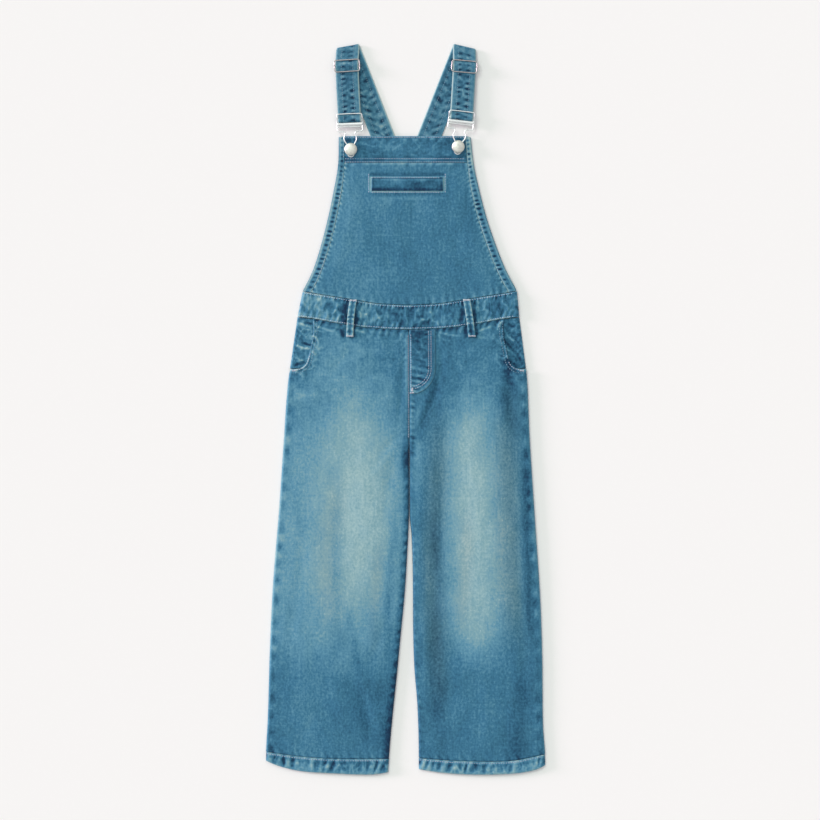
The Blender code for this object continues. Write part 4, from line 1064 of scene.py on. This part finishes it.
def fly_reach(y, inset=0.0, closed=1.0):
    """How far out of the centre seam the fly's edge or a row inside it lies: a J.

    closed under 1 keeps the foot of the J a little way out of the seam.
    """
    bend = closed * np.maximum(FLY_BEND_Y - y, 0.0) / (FLY_BEND_Y - FLY_FOOT_Y - inset)
    return (FLY_WIDTH - inset) * np.sqrt(np.maximum(1.0 - bend ** 2, 0.0))


def fly():
    """Mock fly on the right leg, its outer edge curving into the centre seam."""
    y = mix(FLY_FOOT_Y, float(band_lower(FLY_TOP_X)) - SEAM - 0.8, up_rows(76))
    reach = fly_reach(y, closed=0.97)
    start = along(INSEAM["right"], y) + 1.0
    x = start + reach * across_columns(31)
    inner, outer = x - start, start + reach - x
    bars = (ripple(y + 0.18 * x + 1.2 * noise(x, y, 12.0, 141), 7.4, 0.4)
            * (0.2 + 0.8 * smooth((62.0 - y) / 28.0)) * smooth(inner / 3.0)
            * smooth((outer - 5.0) / 4.0))
    web = crinkle(0.8 * x, 1.3 * y, 11.0, 142) * smooth((outer - 4.0) / 4.0)
    grooves = sum(bell(outer - inset, 0.7) for inset in FLY_ROWS)
    z = (leg_lift("right", x, y) + GAP + 0.25 + WALL + 0.4 * bars + 0.15 * web
         - 0.8 * fall(outer, 1.6) - 0.25 * grooves - 0.5 * fall(inner, 1.2))
    tone = (0.38 + 0.4 * bars + 0.2 * web + 0.34 * bell(outer, 1.2) - 0.05 * grooves
            + 0.26 * bell(inner - 0.6, 1.5)
            + 0.06 * bell(inner - 9.0, 6.0) * smooth((84.0 - y) / 8.0)
            - 0.15 * smooth((y - 82.0) / 8.0) * smooth((outer - 8.0) / 3.0)
            + 0.05 * bell(outer - 2.2, 1.2) + 0.16 * smooth((40.0 - y) / 14.0))
    cloth("mock_fly", "fly", x, y, z, WALL, tone)


def belt_loop(side):
    """Belt loop sewn over the waistband."""
    (top_x, top_y), (foot_x, foot_y) = LOOP_ENDS[side]
    up = up_rows(56)
    reach = mix(-0.5, 0.5, across_columns(13)) * LOOP_WIDTH
    x = mix(foot_x, top_x, up) + pick(side, -1.1, 0.4) * np.sin(math.pi * up) + reach
    y = mix(foot_y, top_y, up)
    aside = np.abs(reach)
    edge = LOOP_WIDTH / 2 - aside
    gathers = pucker(y, aside - 2.6, 6.2, 1.8, 0.3, 151)
    on_band = smooth((y - (band_lower(x) - 6.0)) / 5.0)
    z = (mix(leg_lift(side, x, y) + 0.5, waist_lift(x, y) + 0.85, on_band)
         + 0.9 * np.sin(math.pi * up) ** 0.6 + 0.5 + LOOP_WALL + 0.16 * gathers
         - 0.7 * (fall(up, 0.05) + fall(1.0 - up, 0.05)) - 0.55 * fall(edge, 1.2)
         - 0.35 * bell(aside, 1.6))
    tone = (0.55 + 0.36 * gathers + 0.46 * bell(edge, 2.2) - 0.22 * bell(aside, 1.7)
            - pick(side, 0.0, 0.26) * smooth((0.42 - up) / 0.25) + 0.12 * noise(x, y, 4.0, 152)
            + 0.35 * (bell(up, 0.05) + bell(1.0 - up, 0.05)))
    cloth(f"loop_{side}", f"belt_loop_{side}", x, y, z, LOOP_WALL, tone, weave=(reach, y))


def loop_bar_centre(side):
    """Middle of the clasp's inner bar."""
    tilt = math.radians(STRAPS[side]["clasp_tilt"])
    return Vector(STRAPS[side]["button"]) + LOOP_BAR_Y * Vector((-math.sin(tilt), math.cos(tilt)))


def strap_stations(side):
    """Rows of a strap: centre x, y, height, and tilt, from the back bib to its sewn end."""
    row = STRAPS[side]
    outer, inner, slide = (Vector(row[key]) for key in ("outer", "inner", "slider"))
    fold = (inner - outer) * HAND[side]
    fold_tilt = math.atan2(fold.y, fold.x)
    upward = Vector((-math.sin(fold_tilt), math.cos(fold_tilt)))
    axis = (outer + inner) / 2 - upward * (FOLD_RADIUS + STRAP / 2)
    clasp_tilt = math.radians(row["clasp_tilt"])
    downward = Vector((math.sin(clasp_tilt), -math.cos(clasp_tilt)))
    bar = loop_bar_centre(side)
    stations = []
    for share in np.arange(BACK_STATIONS) / BACK_STATIONS:
        y = mix(YOKE_TOP_Y + SEAM, axis.y, share)
        x = axis.x + (axis.y - y) * row["run"]
        stations.append((x, y, BACK_MID, fold_tilt * float(smooth(share * 1.6))))
    for angle in math.pi * (np.linspace(0.0, 1.0, TURN_STATIONS + 1) - 0.5):
        place = axis + upward * FOLD_RADIUS * math.cos(angle)
        height = BACK_MID + FOLD_RADIUS * (1.0 + math.sin(angle))
        stations.append((*place, height, fold_tilt))
    heights = ((bar.y, OVER_LOOP), (bar.y + GUIDE_BAR_Y - LOOP_BAR_Y, FRONT_MID + 0.95),
               (bar.y + 17.0, FRONT_MID + 0.65), (bar.y + 34.0, FRONT_MID + 0.2),
               (slide.y - 16.0, FRONT_MID), (slide.y - 7.6, FRONT_MID + 0.05),
               (slide.y, OVER_SLIDER), (slide.y + 7.6, FRONT_MID - 0.2),
               (slide.y + 16.0, FRONT_NEAR_FOLD + 0.5), (axis.y, FRONT_NEAR_FOLD))
    lie = ((bar.y, bar.x, clasp_tilt), (slide.y, slide.x, math.radians(row["slider_tilt"])),
           (axis.y, axis.x, fold_tilt))
    for y in mix(axis.y, bar.y, np.arange(1, FRONT_STATIONS) / FRONT_STATIONS):
        stations.append((along(lie, y), y, along(heights, y), along(lie, y, 2)))
    for angle in np.linspace(0.0, math.pi, TURN_STATIONS + 1):
        place = bar + downward * LOOP_RADIUS * math.sin(angle)
        stations.append((*place, HARDWARE_Z + LOOP_RADIUS * math.cos(angle), clasp_tilt))
    for share in np.arange(1, END_STATIONS + 1) / END_STATIONS:
        y = mix(bar.y, slide.y + 3.0, share)
        height = mix(HARDWARE_Z - LOOP_RADIUS, RETURN_MID, smooth(share * 1.5))
        stations.append((along(lie, y), y, height, along(lie, y, 2)))
    return np.array(stations, float)


def strap_grid(side):
    """Places of a strap's mid layer and their normals, its rows' run, and its columns."""
    stations = strap_stations(side)
    x, y, height, tilt = stations.T[:, :, None]
    step_x, step_y = np.gradient(x[:, 0])[:, None], np.gradient(y[:, 0])[:, None]
    steep = np.abs(step_y) > 0.3
    square = np.where(steep, np.arctan(-step_x / np.where(steep, step_y, 1.0)), tilt)
    across = mix(-1.0, 1.0, across_columns(25)) * STRAP_WIDTH / 2
    reach = across / np.maximum(np.cos(tilt - square), 0.9)
    middle = np.stack([x + reach * np.cos(tilt), y + reach * np.sin(tilt), height + 0.0 * reach],
                      -1)
    return middle, grid_normals(middle), lengths(stations[:, :3]), across


def strap(side):
    """Shoulder strap: up from the back bib, folded over, down to the clasp and back."""
    middle, normal, run, across = strap_grid(side)
    length = run[:, None]
    aside, rim = np.abs(across), STRAP_WIDTH / 2 - np.abs(across)
    past_fold = length - run[FOLD_ROW]
    in_front = smooth(past_fold / 8.0 + 0.5)
    seed = pick(side, 161, 167)
    wide = (pucker(length, across + 6.0, 10.2, 3.8, 0.5, seed + 3)
            + pucker(length + 4.0, across - 6.0, 10.6, 3.8, -0.5, seed + 4))
    close = (pucker(length, across + 5.2, 7.2, 2.9, 0.1, seed)
             + pucker(length + 3.0, across - 5.2, 7.4, 2.9, -0.1, seed + 1))
    rows = mix(wide, close, in_front)
    blotch = crinkle(length, across, 11.0, seed + 2) * bell(across, 6.5)
    bump = (0.34 * rows + 0.12 * blotch - 0.38 * fall(rim, 1.3)
            - 0.14 * bell(aside - STRAP_ROW, 0.7))
    depth = normal * (STRAP / 2 + bump)[..., None]
    # Painted shade on the back layer: painted shadow of the front layer towards the fold, and on the
    # right strap a darker back layer all along.
    shaded = smooth((past_fold + 95.0) / 50.0) + pick(side, 0.0, 0.5)
    inward = HAND[side] * across
    tone = (mix(0.56, 0.59, in_front) + split(rows, mix(0.36, 0.3, in_front),
                                              mix(0.7, 0.9, in_front))
            - 0.09 * in_front * smooth((7.8 - aside) / 1.4)
            - 0.12 * needle_marks(length, aside - STRAP_ROW) + 0.24 * blotch
            + mix(0.24, 0.6, smooth(0.5 + inward / 10.0)) * bell(rim - 0.2, 1.2)
            - 0.06 * in_front * bell(rim - 2.8, 1.6) + 0.12 * bell(past_fold, 4.0)
            - 0.1 * (1.0 - in_front) * shaded)
    STRAP_ROWS[side] = (middle, normal, run, bump)
    cloth(f"shoulder_strap_{side}", f"strap_{side}", *np.moveaxis(middle + depth, -1, 0), STRAP,
          tone, 0.45 * smooth((rim - 0.8) / 1.6), (across, length), middle - depth)


for name_of_side in SIDES:
    back_leg(name_of_side)
    front_leg(name_of_side)
    pocket_facing(name_of_side)
    leg_hem(name_of_side)
    bib_hem(name_of_side)
    belt_loop(name_of_side)
    strap(name_of_side)
back_waistband()
front_waistband()
back_bib()
bib()
bib_top_band()
bib_welt()
fly()


# Metal hardware.
def joined(parts):
    """Vertices and faces of several meshes as one."""
    faces, start = [], 0
    for points, polygons in parts:
        faces += [[start + corner for corner in polygon] for polygon in polygons]
        start += len(points)
    return np.concatenate([points for points, _ in parts]), faces


def sweep(line, radii, sides, closed=False, flatten=1.0):
    """Vertices and faces of a round wire straight through places."""
    line = np.array(line, float)
    step = np.roll(line, -1, 0) - np.roll(line, 1, 0) if closed else np.gradient(line, axis=0)
    direction = unit(step)
    aside = unit(np.cross(direction, [0.0, 0.0, 1.0]))
    upward = flatten * np.cross(aside, direction)
    angle = 2.0 * math.pi * np.arange(sides)[None, :, None] / sides
    ring = aside[:, None] * np.cos(angle) + upward[:, None] * np.sin(angle)
    vertices = (line[:, None] + np.reshape(radii, (-1, 1, 1)) * ring).reshape(-1, 3)
    index = np.arange(len(line) * sides).reshape(-1, sides)
    ahead = np.roll(index, -1, 0)
    faces = np.stack([index, ahead, np.roll(ahead, -1, 1), np.roll(index, -1, 1)], -1)
    if closed:
        return vertices, faces.reshape(-1, 4).tolist()
    ends = [index[0].tolist(), index[-1][::-1].tolist()]
    return vertices, faces[:-1].reshape(-1, 4).tolist() + ends


def wire(points, radius, sides=16, flatten=1.0, step=0.6):
    """A wire on a smooth line through points, with domed ends."""
    line = curve(points, step)
    run = lengths(line)
    from_end = np.minimum(run, run[-1] - run) / (0.8 * radius)
    dome = np.sqrt(np.clip(1.0 - (1.0 - from_end) ** 2, 0.0, 1.0))
    size = np.where(from_end < 1.0, np.maximum(dome, 0.35), 1.0)
    return sweep(line, radius * size, sides, flatten=flatten)


def arc(centre, radius, start, end, steps):
    """Points about a centre between two angles in degrees."""
    angles = np.radians(np.linspace(start, end, steps + 1))
    return [(centre[0] + radius * math.cos(angle), centre[1] + radius * math.sin(angle))
            for angle in angles]


def fitting(name, node, parts, centre, tilt_degrees, material):
    """A metal piece of parts about the origin, turned about the vertical and moved."""
    points, faces = joined(parts)
    tilt = math.radians(tilt_degrees)
    x, y, z = points.T
    turned = [x * math.cos(tilt) - y * math.sin(tilt), x * math.sin(tilt) + y * math.cos(tilt), z]
    make_piece(name, [node], (np.stack(turned, 1) + centre, faces), material)


def slider(side):
    """Wire slider: frame over the strap, coiled onto a low bar under its front layer."""
    row = STRAPS[side]
    half_x, half_y = SLIDER_SIZE[0] / 2, SLIDER_SIZE[1] / 2
    frame_z = FRONT_MID + STRAP / 2 + SEAM + WIRE + 0.3
    drop = SLIDER_BAR_Z - frame_z
    corner = 3.0
    outline = []
    for sign_x, sign_y, start in ((1, 1, 0), (-1, 1, 90), (-1, -1, 180), (1, -1, 270)):
        centre = (sign_x * (half_x - corner), sign_y * (half_y - corner))
        outline += [(x, y, 0.0) for x, y in arc(centre, corner, start, start + 90, 6)]
    half = [(half_x - 0.5, 0, drop), (half_x, 0, drop + 0.6), (half_x, 0, 0.25)]
    bar = [(-x, y, z) for x, y, z in reversed(half)] + half
    parts = [sweep(outline, WIRE, 14, closed=True), wire(bar, WIRE)]
    for end in (-half_x, half_x):
        turns = [(end + 0.98 * WIRE * math.cos(angle), 0.9 * math.sin(angle * 0.5),
                  0.98 * WIRE * math.sin(angle)) for angle in np.linspace(-math.pi, math.pi, 13)]
        parts.append(wire(turns, 0.32, sides=8, step=0.3))
    fitting(f"slide_{side}", f"slider_{side}", parts, (*row["slider"], frame_z),
            row["slider_tilt"], DRAWN)


def clasp_wire_points():
    """One wire: down from the bar, in at the shoulders, round the keyhole and back."""
    bend = 2.4
    half = [(CLASP_HALF, CLASP_BAR_Y - 0.4),
            *arc((CLASP_HALF - bend, SHOULDER_Y + bend), bend, 0.0, -90.0, 6), (8.4, SHOULDER_Y),
            (6.9, 22.2), (6.3, 20.8), (6.3, 19.4), (7.2, 17.2), (7.9, 14.4), (7.3, 11.2),
            (5.7, 8.4), (4.3, 6.0), (KEYHOLE_SLOT, 3.2)]
    foot = arc((0.0, KEYHOLE_FOOT_Y), KEYHOLE_SLOT, 0.0, -180.0, 10)
    back = [(-x, y) for x, y in reversed(half)]
    return [(x, y, 0.0) for x, y in half + foot + back]


def buckle(side):
    """Clasp: keyhole wire with shoulders, thick bar, cross wire, inner bar and guide wire."""
    row = STRAPS[side]
    rise = 2.5
    half = [(CLASP_HALF, CLASP_BAR_Y - 0.4, 0.0), (CLASP_HALF, CLASP_BAR_Y + 2.4, 0.0),
            (CLASP_HALF, LOOP_BAR_Y, 0.35), (CLASP_HALF, GUIDE_BAR_Y - 3.6, rise - 0.5),
            (CLASP_HALF - 0.5, GUIDE_BAR_Y - 1.0, rise), (CLASP_HALF - 1.8, GUIDE_BAR_Y, rise)]
    guide = half + [(-x, y, z) for x, y, z in reversed(half)]
    parts = [wire(clasp_wire_points(), KEYHOLE_WIRE - 0.1), wire(guide, WIRE)]
    bars = ((CLASP_HALF + 1.2, CLASP_BAR_Y, 0.1, 2.1, 0.8),
            (CLASP_HALF, CLASP_BAR_Y - 3.2, 0.0, WIRE, 1.0),
            (CLASP_HALF, LOOP_BAR_Y, 0.0, WIRE, 1.0))
    for half_x, y, z, radius, flatten in bars:
        parts.append(wire([(-half_x, y, z), (half_x, y, z)], radius, 24, flatten))
    for end in (-CLASP_HALF, CLASP_HALF):
        parts.append(wire([(end, CLASP_BAR_Y + 1.2, 0.1), (end, CLASP_BAR_Y + 2.8, 0.1)], 1.05))
    fitting(f"clasp_{side}", f"buckle_{side}", parts, (*row["button"], HARDWARE_Z),
            row["clasp_tilt"], BRIGHT)


def lathe(profile, steps=64):
    """Vertices and faces of a profile of (radius, height) turned about the vertical."""
    angle = 2.0 * math.pi * np.arange(steps) / steps
    radius, height = np.array(profile[1:-1]).T[:, :, None]
    rings = np.stack([radius * np.cos(angle), radius * np.sin(angle), height + 0.0 * angle], -1)
    top, foot = ((0.0, 0.0, profile[end][1]) for end in (0, -1))
    vertices = np.concatenate([[top], rings.reshape(-1, 3), [foot]])
    index = 1 + np.arange(rings[..., 0].size).reshape(-1, steps)
    beside = np.roll(index, -1, 1)
    faces = np.stack([index[:-1], index[1:], beside[1:], beside[:-1]], -1).reshape(-1, 4).tolist()
    faces += [[0, low, high] for low, high in zip(index[0].tolist(), beside[0].tolist())]
    last = len(vertices) - 1
    faces += [[low, last, high] for low, high in zip(index[-1].tolist(), beside[-1].tolist())]
    return vertices, faces


def button(side):
    """Tack button: plain domed cap with a rolled rim, on a shank with a washer."""
    x, y = STRAPS[side]["button"]
    base = float(bib_lift(x, y)) + GAP + 0.12 + SEAM
    cap_foot = HARDWARE_Z + KEYHOLE_WIRE + SEAM - base
    cap_side = cap_foot + 1.1
    dome = [(0.0, cap_side + BUTTON_DOME)]
    for angle in np.radians(np.linspace(4.0, 74.0, 18)):
        dome.append(((BUTTON_RADIUS - 0.5) * math.sin(angle),
                     cap_side + BUTTON_DOME * math.cos(angle)))
    rim = [(BUTTON_RADIUS - 0.85, cap_side + 0.34), (BUTTON_RADIUS - 0.62, cap_side + 0.36),
           (BUTTON_RADIUS - 0.25, cap_side + 0.18), (BUTTON_RADIUS - 0.05, cap_side - 0.2),
           (BUTTON_RADIUS, cap_side - 0.55), (BUTTON_RADIUS - 0.12, cap_foot + 0.15),
           (BUTTON_RADIUS - 0.5, cap_foot)]
    shank = [(2.6, cap_foot), (2.4, cap_foot - 0.2), (2.4, 0.9), (2.7, 0.6), (3.5, 0.45),
             (3.6, 0.2), (3.5, 0.0), (0.0, 0.0)]
    fitting(f"tack_{side}", f"button_{side}", [lathe(dome + rim + shank)], (x, y, base), 0.0,
            SATIN)


for name_of_side in SIDES:
    slider(name_of_side)
    buckle(name_of_side)
    button(name_of_side)


# Stitching: short threads laid on the finished cloth.  Ends of the rows that stop short of
# a seam, the height where a pocket's lip row turns lilac, and the tacks at the fly's foot.
TOP_ROW_X = (-83.0, 81.0)
HEM_ROW_FOOT_Y = {"left": 152.0, "right": 154.0}
WAIST_ROWS_X = ((-128.0, 138.0), (-133.0, 141.0))
SEAM_ROWS_Y = ((-36.0, 99.0), (24.0, 99.0))
LIP_TURN_Y = {"left": 70.0, "right": 60.0}
FLY_TACKS = (((8.4, 23.0), (8.8, 27.0), 2.4, 7), ((5.0, 20.5), (10.4, 21.0), 1.8, 8))

cloth_places, cloth_faces = joined(SURFACES)
GROUND = BVHTree.FromPolygons(cloth_places.tolist(), cloth_faces)


def thread(centre, radius):
    """A short thread through five places, closed at both ends."""
    return sweep(centre, np.array((0.55, 0.95, 1.0, 0.95, 0.55)) * radius, 6)


def stitch(places, sinks, radius):
    """A thread over x, y places, raised off the cloth, or nothing where one misses it."""
    centre = []
    for (x, y), sink in zip(places, sinks):
        place, normal, _, _ = GROUND.ray_cast(Vector((x, y, 60.0)), Vector((0.0, 0.0, -1.0)))
        if place is None:
            return []
        centre.append(place + normal * float(sink))
    return [thread(centre, radius)]


def thread_run(line, sunk, seed):
    """Stitches along a line of x, y places, each sunk a little at its ends."""
    run = lengths(line)
    count = int((run[-1] - 0.3) / PITCH)
    deep = 0.3 * noise(np.arange(count), 7.0 * seed, 4.5, 25) - sunk
    parts = []
    for index in range(count):
        spread = float(lattice(index, seed, 5)) - 0.5
        start = index * PITCH + 0.25 + 0.25 * spread
        at = start + FIFTHS * (STITCH_LENGTH + 0.3 * spread)
        rises = np.array((-0.22, 0.12, 0.2, 0.12, -0.22)) + deep[index]
        parts += stitch(walk(line, run, at), rises, 0.4)
    return parts


def thread_piece(name, parts, material):
    """One mesh of many threads."""
    make_piece(name, [], joined(parts), material)


def stitch_piece(name, runs, material, sunk=()):
    """One mesh of all the stitches on several lines, the first of them sunk deeper."""
    parts = []
    for seed, line in enumerate(runs):
        parts += thread_run(line, sunk[seed] if seed < len(sunk) else 0.0, seed + 1)
    thread_piece(name, parts, material)


def bar_tack(start, end, width, seed):
    """Dense zigzag of thread across a short line."""
    start, end = np.array(start), np.array(end)
    length = math.hypot(*(end - start))
    ahead = (end - start) / length
    left = np.array((-ahead[1], ahead[0]))
    across = 2.0 * FIFTHS[:, None] - 1.0
    count = max(int(length / 0.5), 3)
    parts = []
    for index in range(count + 1):
        lean = 0.25 * (1 if index % 2 else -1) + 0.2 * (float(lattice(index, seed, 9)) - 0.5)
        half = 0.5 * width * (0.9 + 0.2 * float(lattice(index, seed, 11)))
        places = start + ahead * (index / count * length + lean * across) + left * half * across
        parts += stitch(places, (-0.15, 0.16, 0.24, 0.16, -0.15), 0.3)
    return parts


def row_across(low, high, height):
    """Places over a range of x, at one height or at a height for each x."""
    x = np.arange(low, high, 1.5)
    return np.stack([x, height(x) if callable(height) else np.full_like(x, height)], 1)


def row_up(low, high, place):
    """Places over a range of y, at one x or at an x for each y."""
    return row_across(low, high, place)[:, ::-1]


def offset_line(line, distance):
    """A line moved sideways, to its left as it runs."""
    step = unit(np.gradient(line, axis=0))
    return line + distance * np.stack([-step[:, 1], step[:, 0]], 1)


def bib_stitching():
    """Twin rows under the top band, top edge row, side hem rows, welt rows."""
    runs = []
    for y in (BAND_FOOT_Y + 0.9, BAND_FOOT_Y + 5.0):
        left, right = bib_panel_edges(y)
        runs.append(row_across(left + 0.5, right - 0.5, y))
    runs.append(row_across(*TOP_ROW_X, BIB_TOP_Y - 2.0))
    for side in SIDES:
        runs.append(row_up(HEM_ROW_FOOT_Y[side], BIB_TOP_Y - 3.0,
                           lambda y, side=side: hem_line(side, 1.0, y) - 1.2 * HAND[side]))
    low_x, low_y, high_x, high_y = WELT
    for y in (high_y - 1.2, low_y - 1.5):
        runs.append(row_across(low_x + 0.6, high_x - 0.4, y))
    for x in (low_x - 3.2, high_x + 2.4):
        runs.append(row_up(low_y - 2.0, high_y + 6.0, x))
    stitch_piece("stitches_bib", runs, LILAC, (0.24, 0.22, 0.0, 0.5, 0.52))


def waist_stitching():
    """Rows along both edges of the waistband."""
    upper, lower = WAIST_ROWS_X
    runs = [row_across(*upper, lambda x: band_upper(x) - 1.9),
            row_across(*lower, lambda x: band_lower(x) + 1.9)]
    stitch_piece("stitches_waist", runs, LILAC, (0.2, 0.12))


def fly_stitching():
    """Twin rows along the fly's edge, from its top to the centre seam."""
    runs = []
    for inset in FLY_ROWS:
        quarter = np.sin(np.linspace(0.0, 0.5 * math.pi, 40))
        y = np.concatenate([np.arange(float(band_lower(FLY_TOP_X)) - 2.0, FLY_BEND_Y, -2.0),
                            FLY_BEND_Y - (FLY_BEND_Y - FLY_FOOT_Y - inset) * quarter])
        x = along(INSEAM["right"], y) + 1.0 + fly_reach(y, inset)
        runs.append(np.stack([x, y], 1)[:-3])
    stitch_piece("stitches_fly", runs, LILAC)


def tack_stitching():
    """Bar tacks at the belt loops' ends, the fly's foot and the pocket corners."""
    parts = []
    for side in SIDES:
        (top_x, top_y), (foot_x, foot_y) = LOOP_ENDS[side]
        for seed, (x, y) in enumerate(((top_x, top_y - 1.6), (foot_x, foot_y + 1.6))):
            parts += bar_tack((x - 4.2, y), (x + 4.2, y), 2.0, seed)
        outer, hand = float(along(OUTSEAM[side], 54.0)), HAND[side]
        parts += bar_tack((outer + 3.0 * hand, 48.5), (outer + 7.6 * hand, 49.0), 1.6, 5)
    for tack in FLY_TACKS:
        parts += bar_tack(*tack)
    thread_piece("bar_tacks", parts, TACK)


def leg_stitching(side):
    """Pocket mouth rows, and the centre seam's rows on the left leg."""
    mouth = mouth_line(side)
    mouth = mouth[mouth[:, 1] < band_lower(mouth[:, 0]) - 1.5]
    turn_y = LIP_TURN_Y[side]
    high, low = mouth[mouth[:, 1] > turn_y], mouth[mouth[:, 1] <= turn_y + 2.0]
    lip, inner_row = 1.3 * HAND[side], 5.0 * HAND[side]
    tonal = [offset_line(mouth, inner_row), offset_line(high, lip)]
    stitch_piece(f"stitches_lip_{side}", tonal, TONAL)
    runs = [offset_line(low, lip)]
    if side == "left":
        long_row, short_row = SEAM_ROWS_Y
        runs.append(row_up(*long_row, lambda y: along(INSEAM["left"], y) - 0.7))
        runs.append(row_up(*short_row, lambda y: along(INSEAM["right"], y) + 2.3))
    stitch_piece(f"stitches_leg_{side}", runs, LILAC)


def hem_stitching(side):
    """A row along a hem, just under its fold-over."""
    left, right = (float(edge) for edge in leg_edges(side, -440.0))
    line = row_across(left + 1.5, right - 1.5,
                      lambda x: along(HEM_STITCH[side], (x - left) / (right - left)) - 2.0)
    stitch_piece(f"stitches_hem_{side}", [line], LILAC, (0.16,))


def strap_stitching(side):
    """Two rows along the strap, in a thread close to the cloth's colour."""
    middle, normal, run, bump = STRAP_ROWS[side]
    face = np.where(np.arange(len(run)) < FOLD_ROW, 1.0, -1.0)[:, None]
    rises = np.array((-0.2, 0.08, 0.14, 0.08, -0.2))[:, None]
    parts = []
    for place in (-STRAP_ROW, STRAP_ROW):
        low, share = divmod((place / STRAP_WIDTH + 0.5) * (middle.shape[1] - 1), 1.0)
        centre, up, height = (mix(grid[:, int(low)], grid[:, int(low) + 1], share)
                              for grid in (middle, normal, bump))
        up = up * face
        surface = centre + up * (STRAP / 2 + height)[:, None]
        for index, start in enumerate(np.arange(1.0, run[-1] - STRAP_STITCH - 0.4, STRAP_PITCH)):
            spread = float(lattice(index, 7, 15)) - 0.5
            at = start + FIFTHS * (STRAP_STITCH + 0.4 * spread)
            parts.append(thread(walk(surface, run, at) + walk(up, run, at) * rises, 0.3))
    thread_piece(f"stitches_strap_{side}", parts, TONAL)


bib_stitching()
waist_stitching()
fly_stitching()
tack_stitching()
for name_of_side in SIDES:
    leg_stitching(name_of_side)
    hem_stitching(name_of_side)
    strap_stitching(name_of_side)


# Floor, light and camera.
def add_object(name, data):
    """An object of the scene that is no piece of the garment."""
    made = bpy.data.objects.new(name, data)
    bpy.context.scene.collection.objects.link(made)
    return made


def studio():
    """Pale floor, a bright tilted dome, and two soft suns from the upper left."""
    mesh = bpy.data.meshes.new("floor")
    half, depth = 9.0, -0.0006
    corners = [(x, y, depth) for x, y in ((-half, -half), (half, -half), (half, half), (-half, half))]
    mesh.from_pydata(corners, [], [(0, 1, 2, 3)])
    mesh.materials.append(floor_material())
    floor = add_object("floor", mesh)

    g = Graph(bpy.data.worlds.new("studio"), "Background")
    bpy.context.scene.world = g.owner
    toward = Vector((-0.35, 0.35, 1.0)).normalized()
    facing = g.add("VectorMath", {0: g.add("TexCoord", {}, "Generated"), 1: toward}, "Value",
                   operation="DOT_PRODUCT")
    g.finish(Color=g.ramp(facing, (0.0, (0.50, 0.51, 0.52)), (1.0, (1.0, 1.0, 1.0))),
             Strength=0.83)

    suns = (("main_light", 0.92, 26.0, (0.85, 1.0, 0.88), (-0.62, 0.62, 1.0)),
            ("side_light", 2.4, 13.0, (1.0, 0.76, 0.9), (-1.0, 0.25, 0.21)))
    for name, energy, angle, colour, direction in suns:
        sun = bpy.data.lights.new(name, "SUN")
        sun.energy, sun.angle, sun.color = energy, math.radians(angle), colour
        lamp = add_object(name, sun)
        lamp.rotation_euler = Vector(direction).to_track_quat("Z", "Y").to_euler()

    lens = bpy.data.cameras.new("camera")
    lens.lens, lens.sensor_width, lens.clip_end = 85.0, 36.0, 20.0
    camera = add_object("camera", lens)
    camera.location = (0.00565, -0.00095, 2.459)
    bpy.context.scene.camera = camera
    bpy.context.scene.view_settings.view_transform = "Standard"
    bpy.context.scene.view_settings.look = "None"


studio()
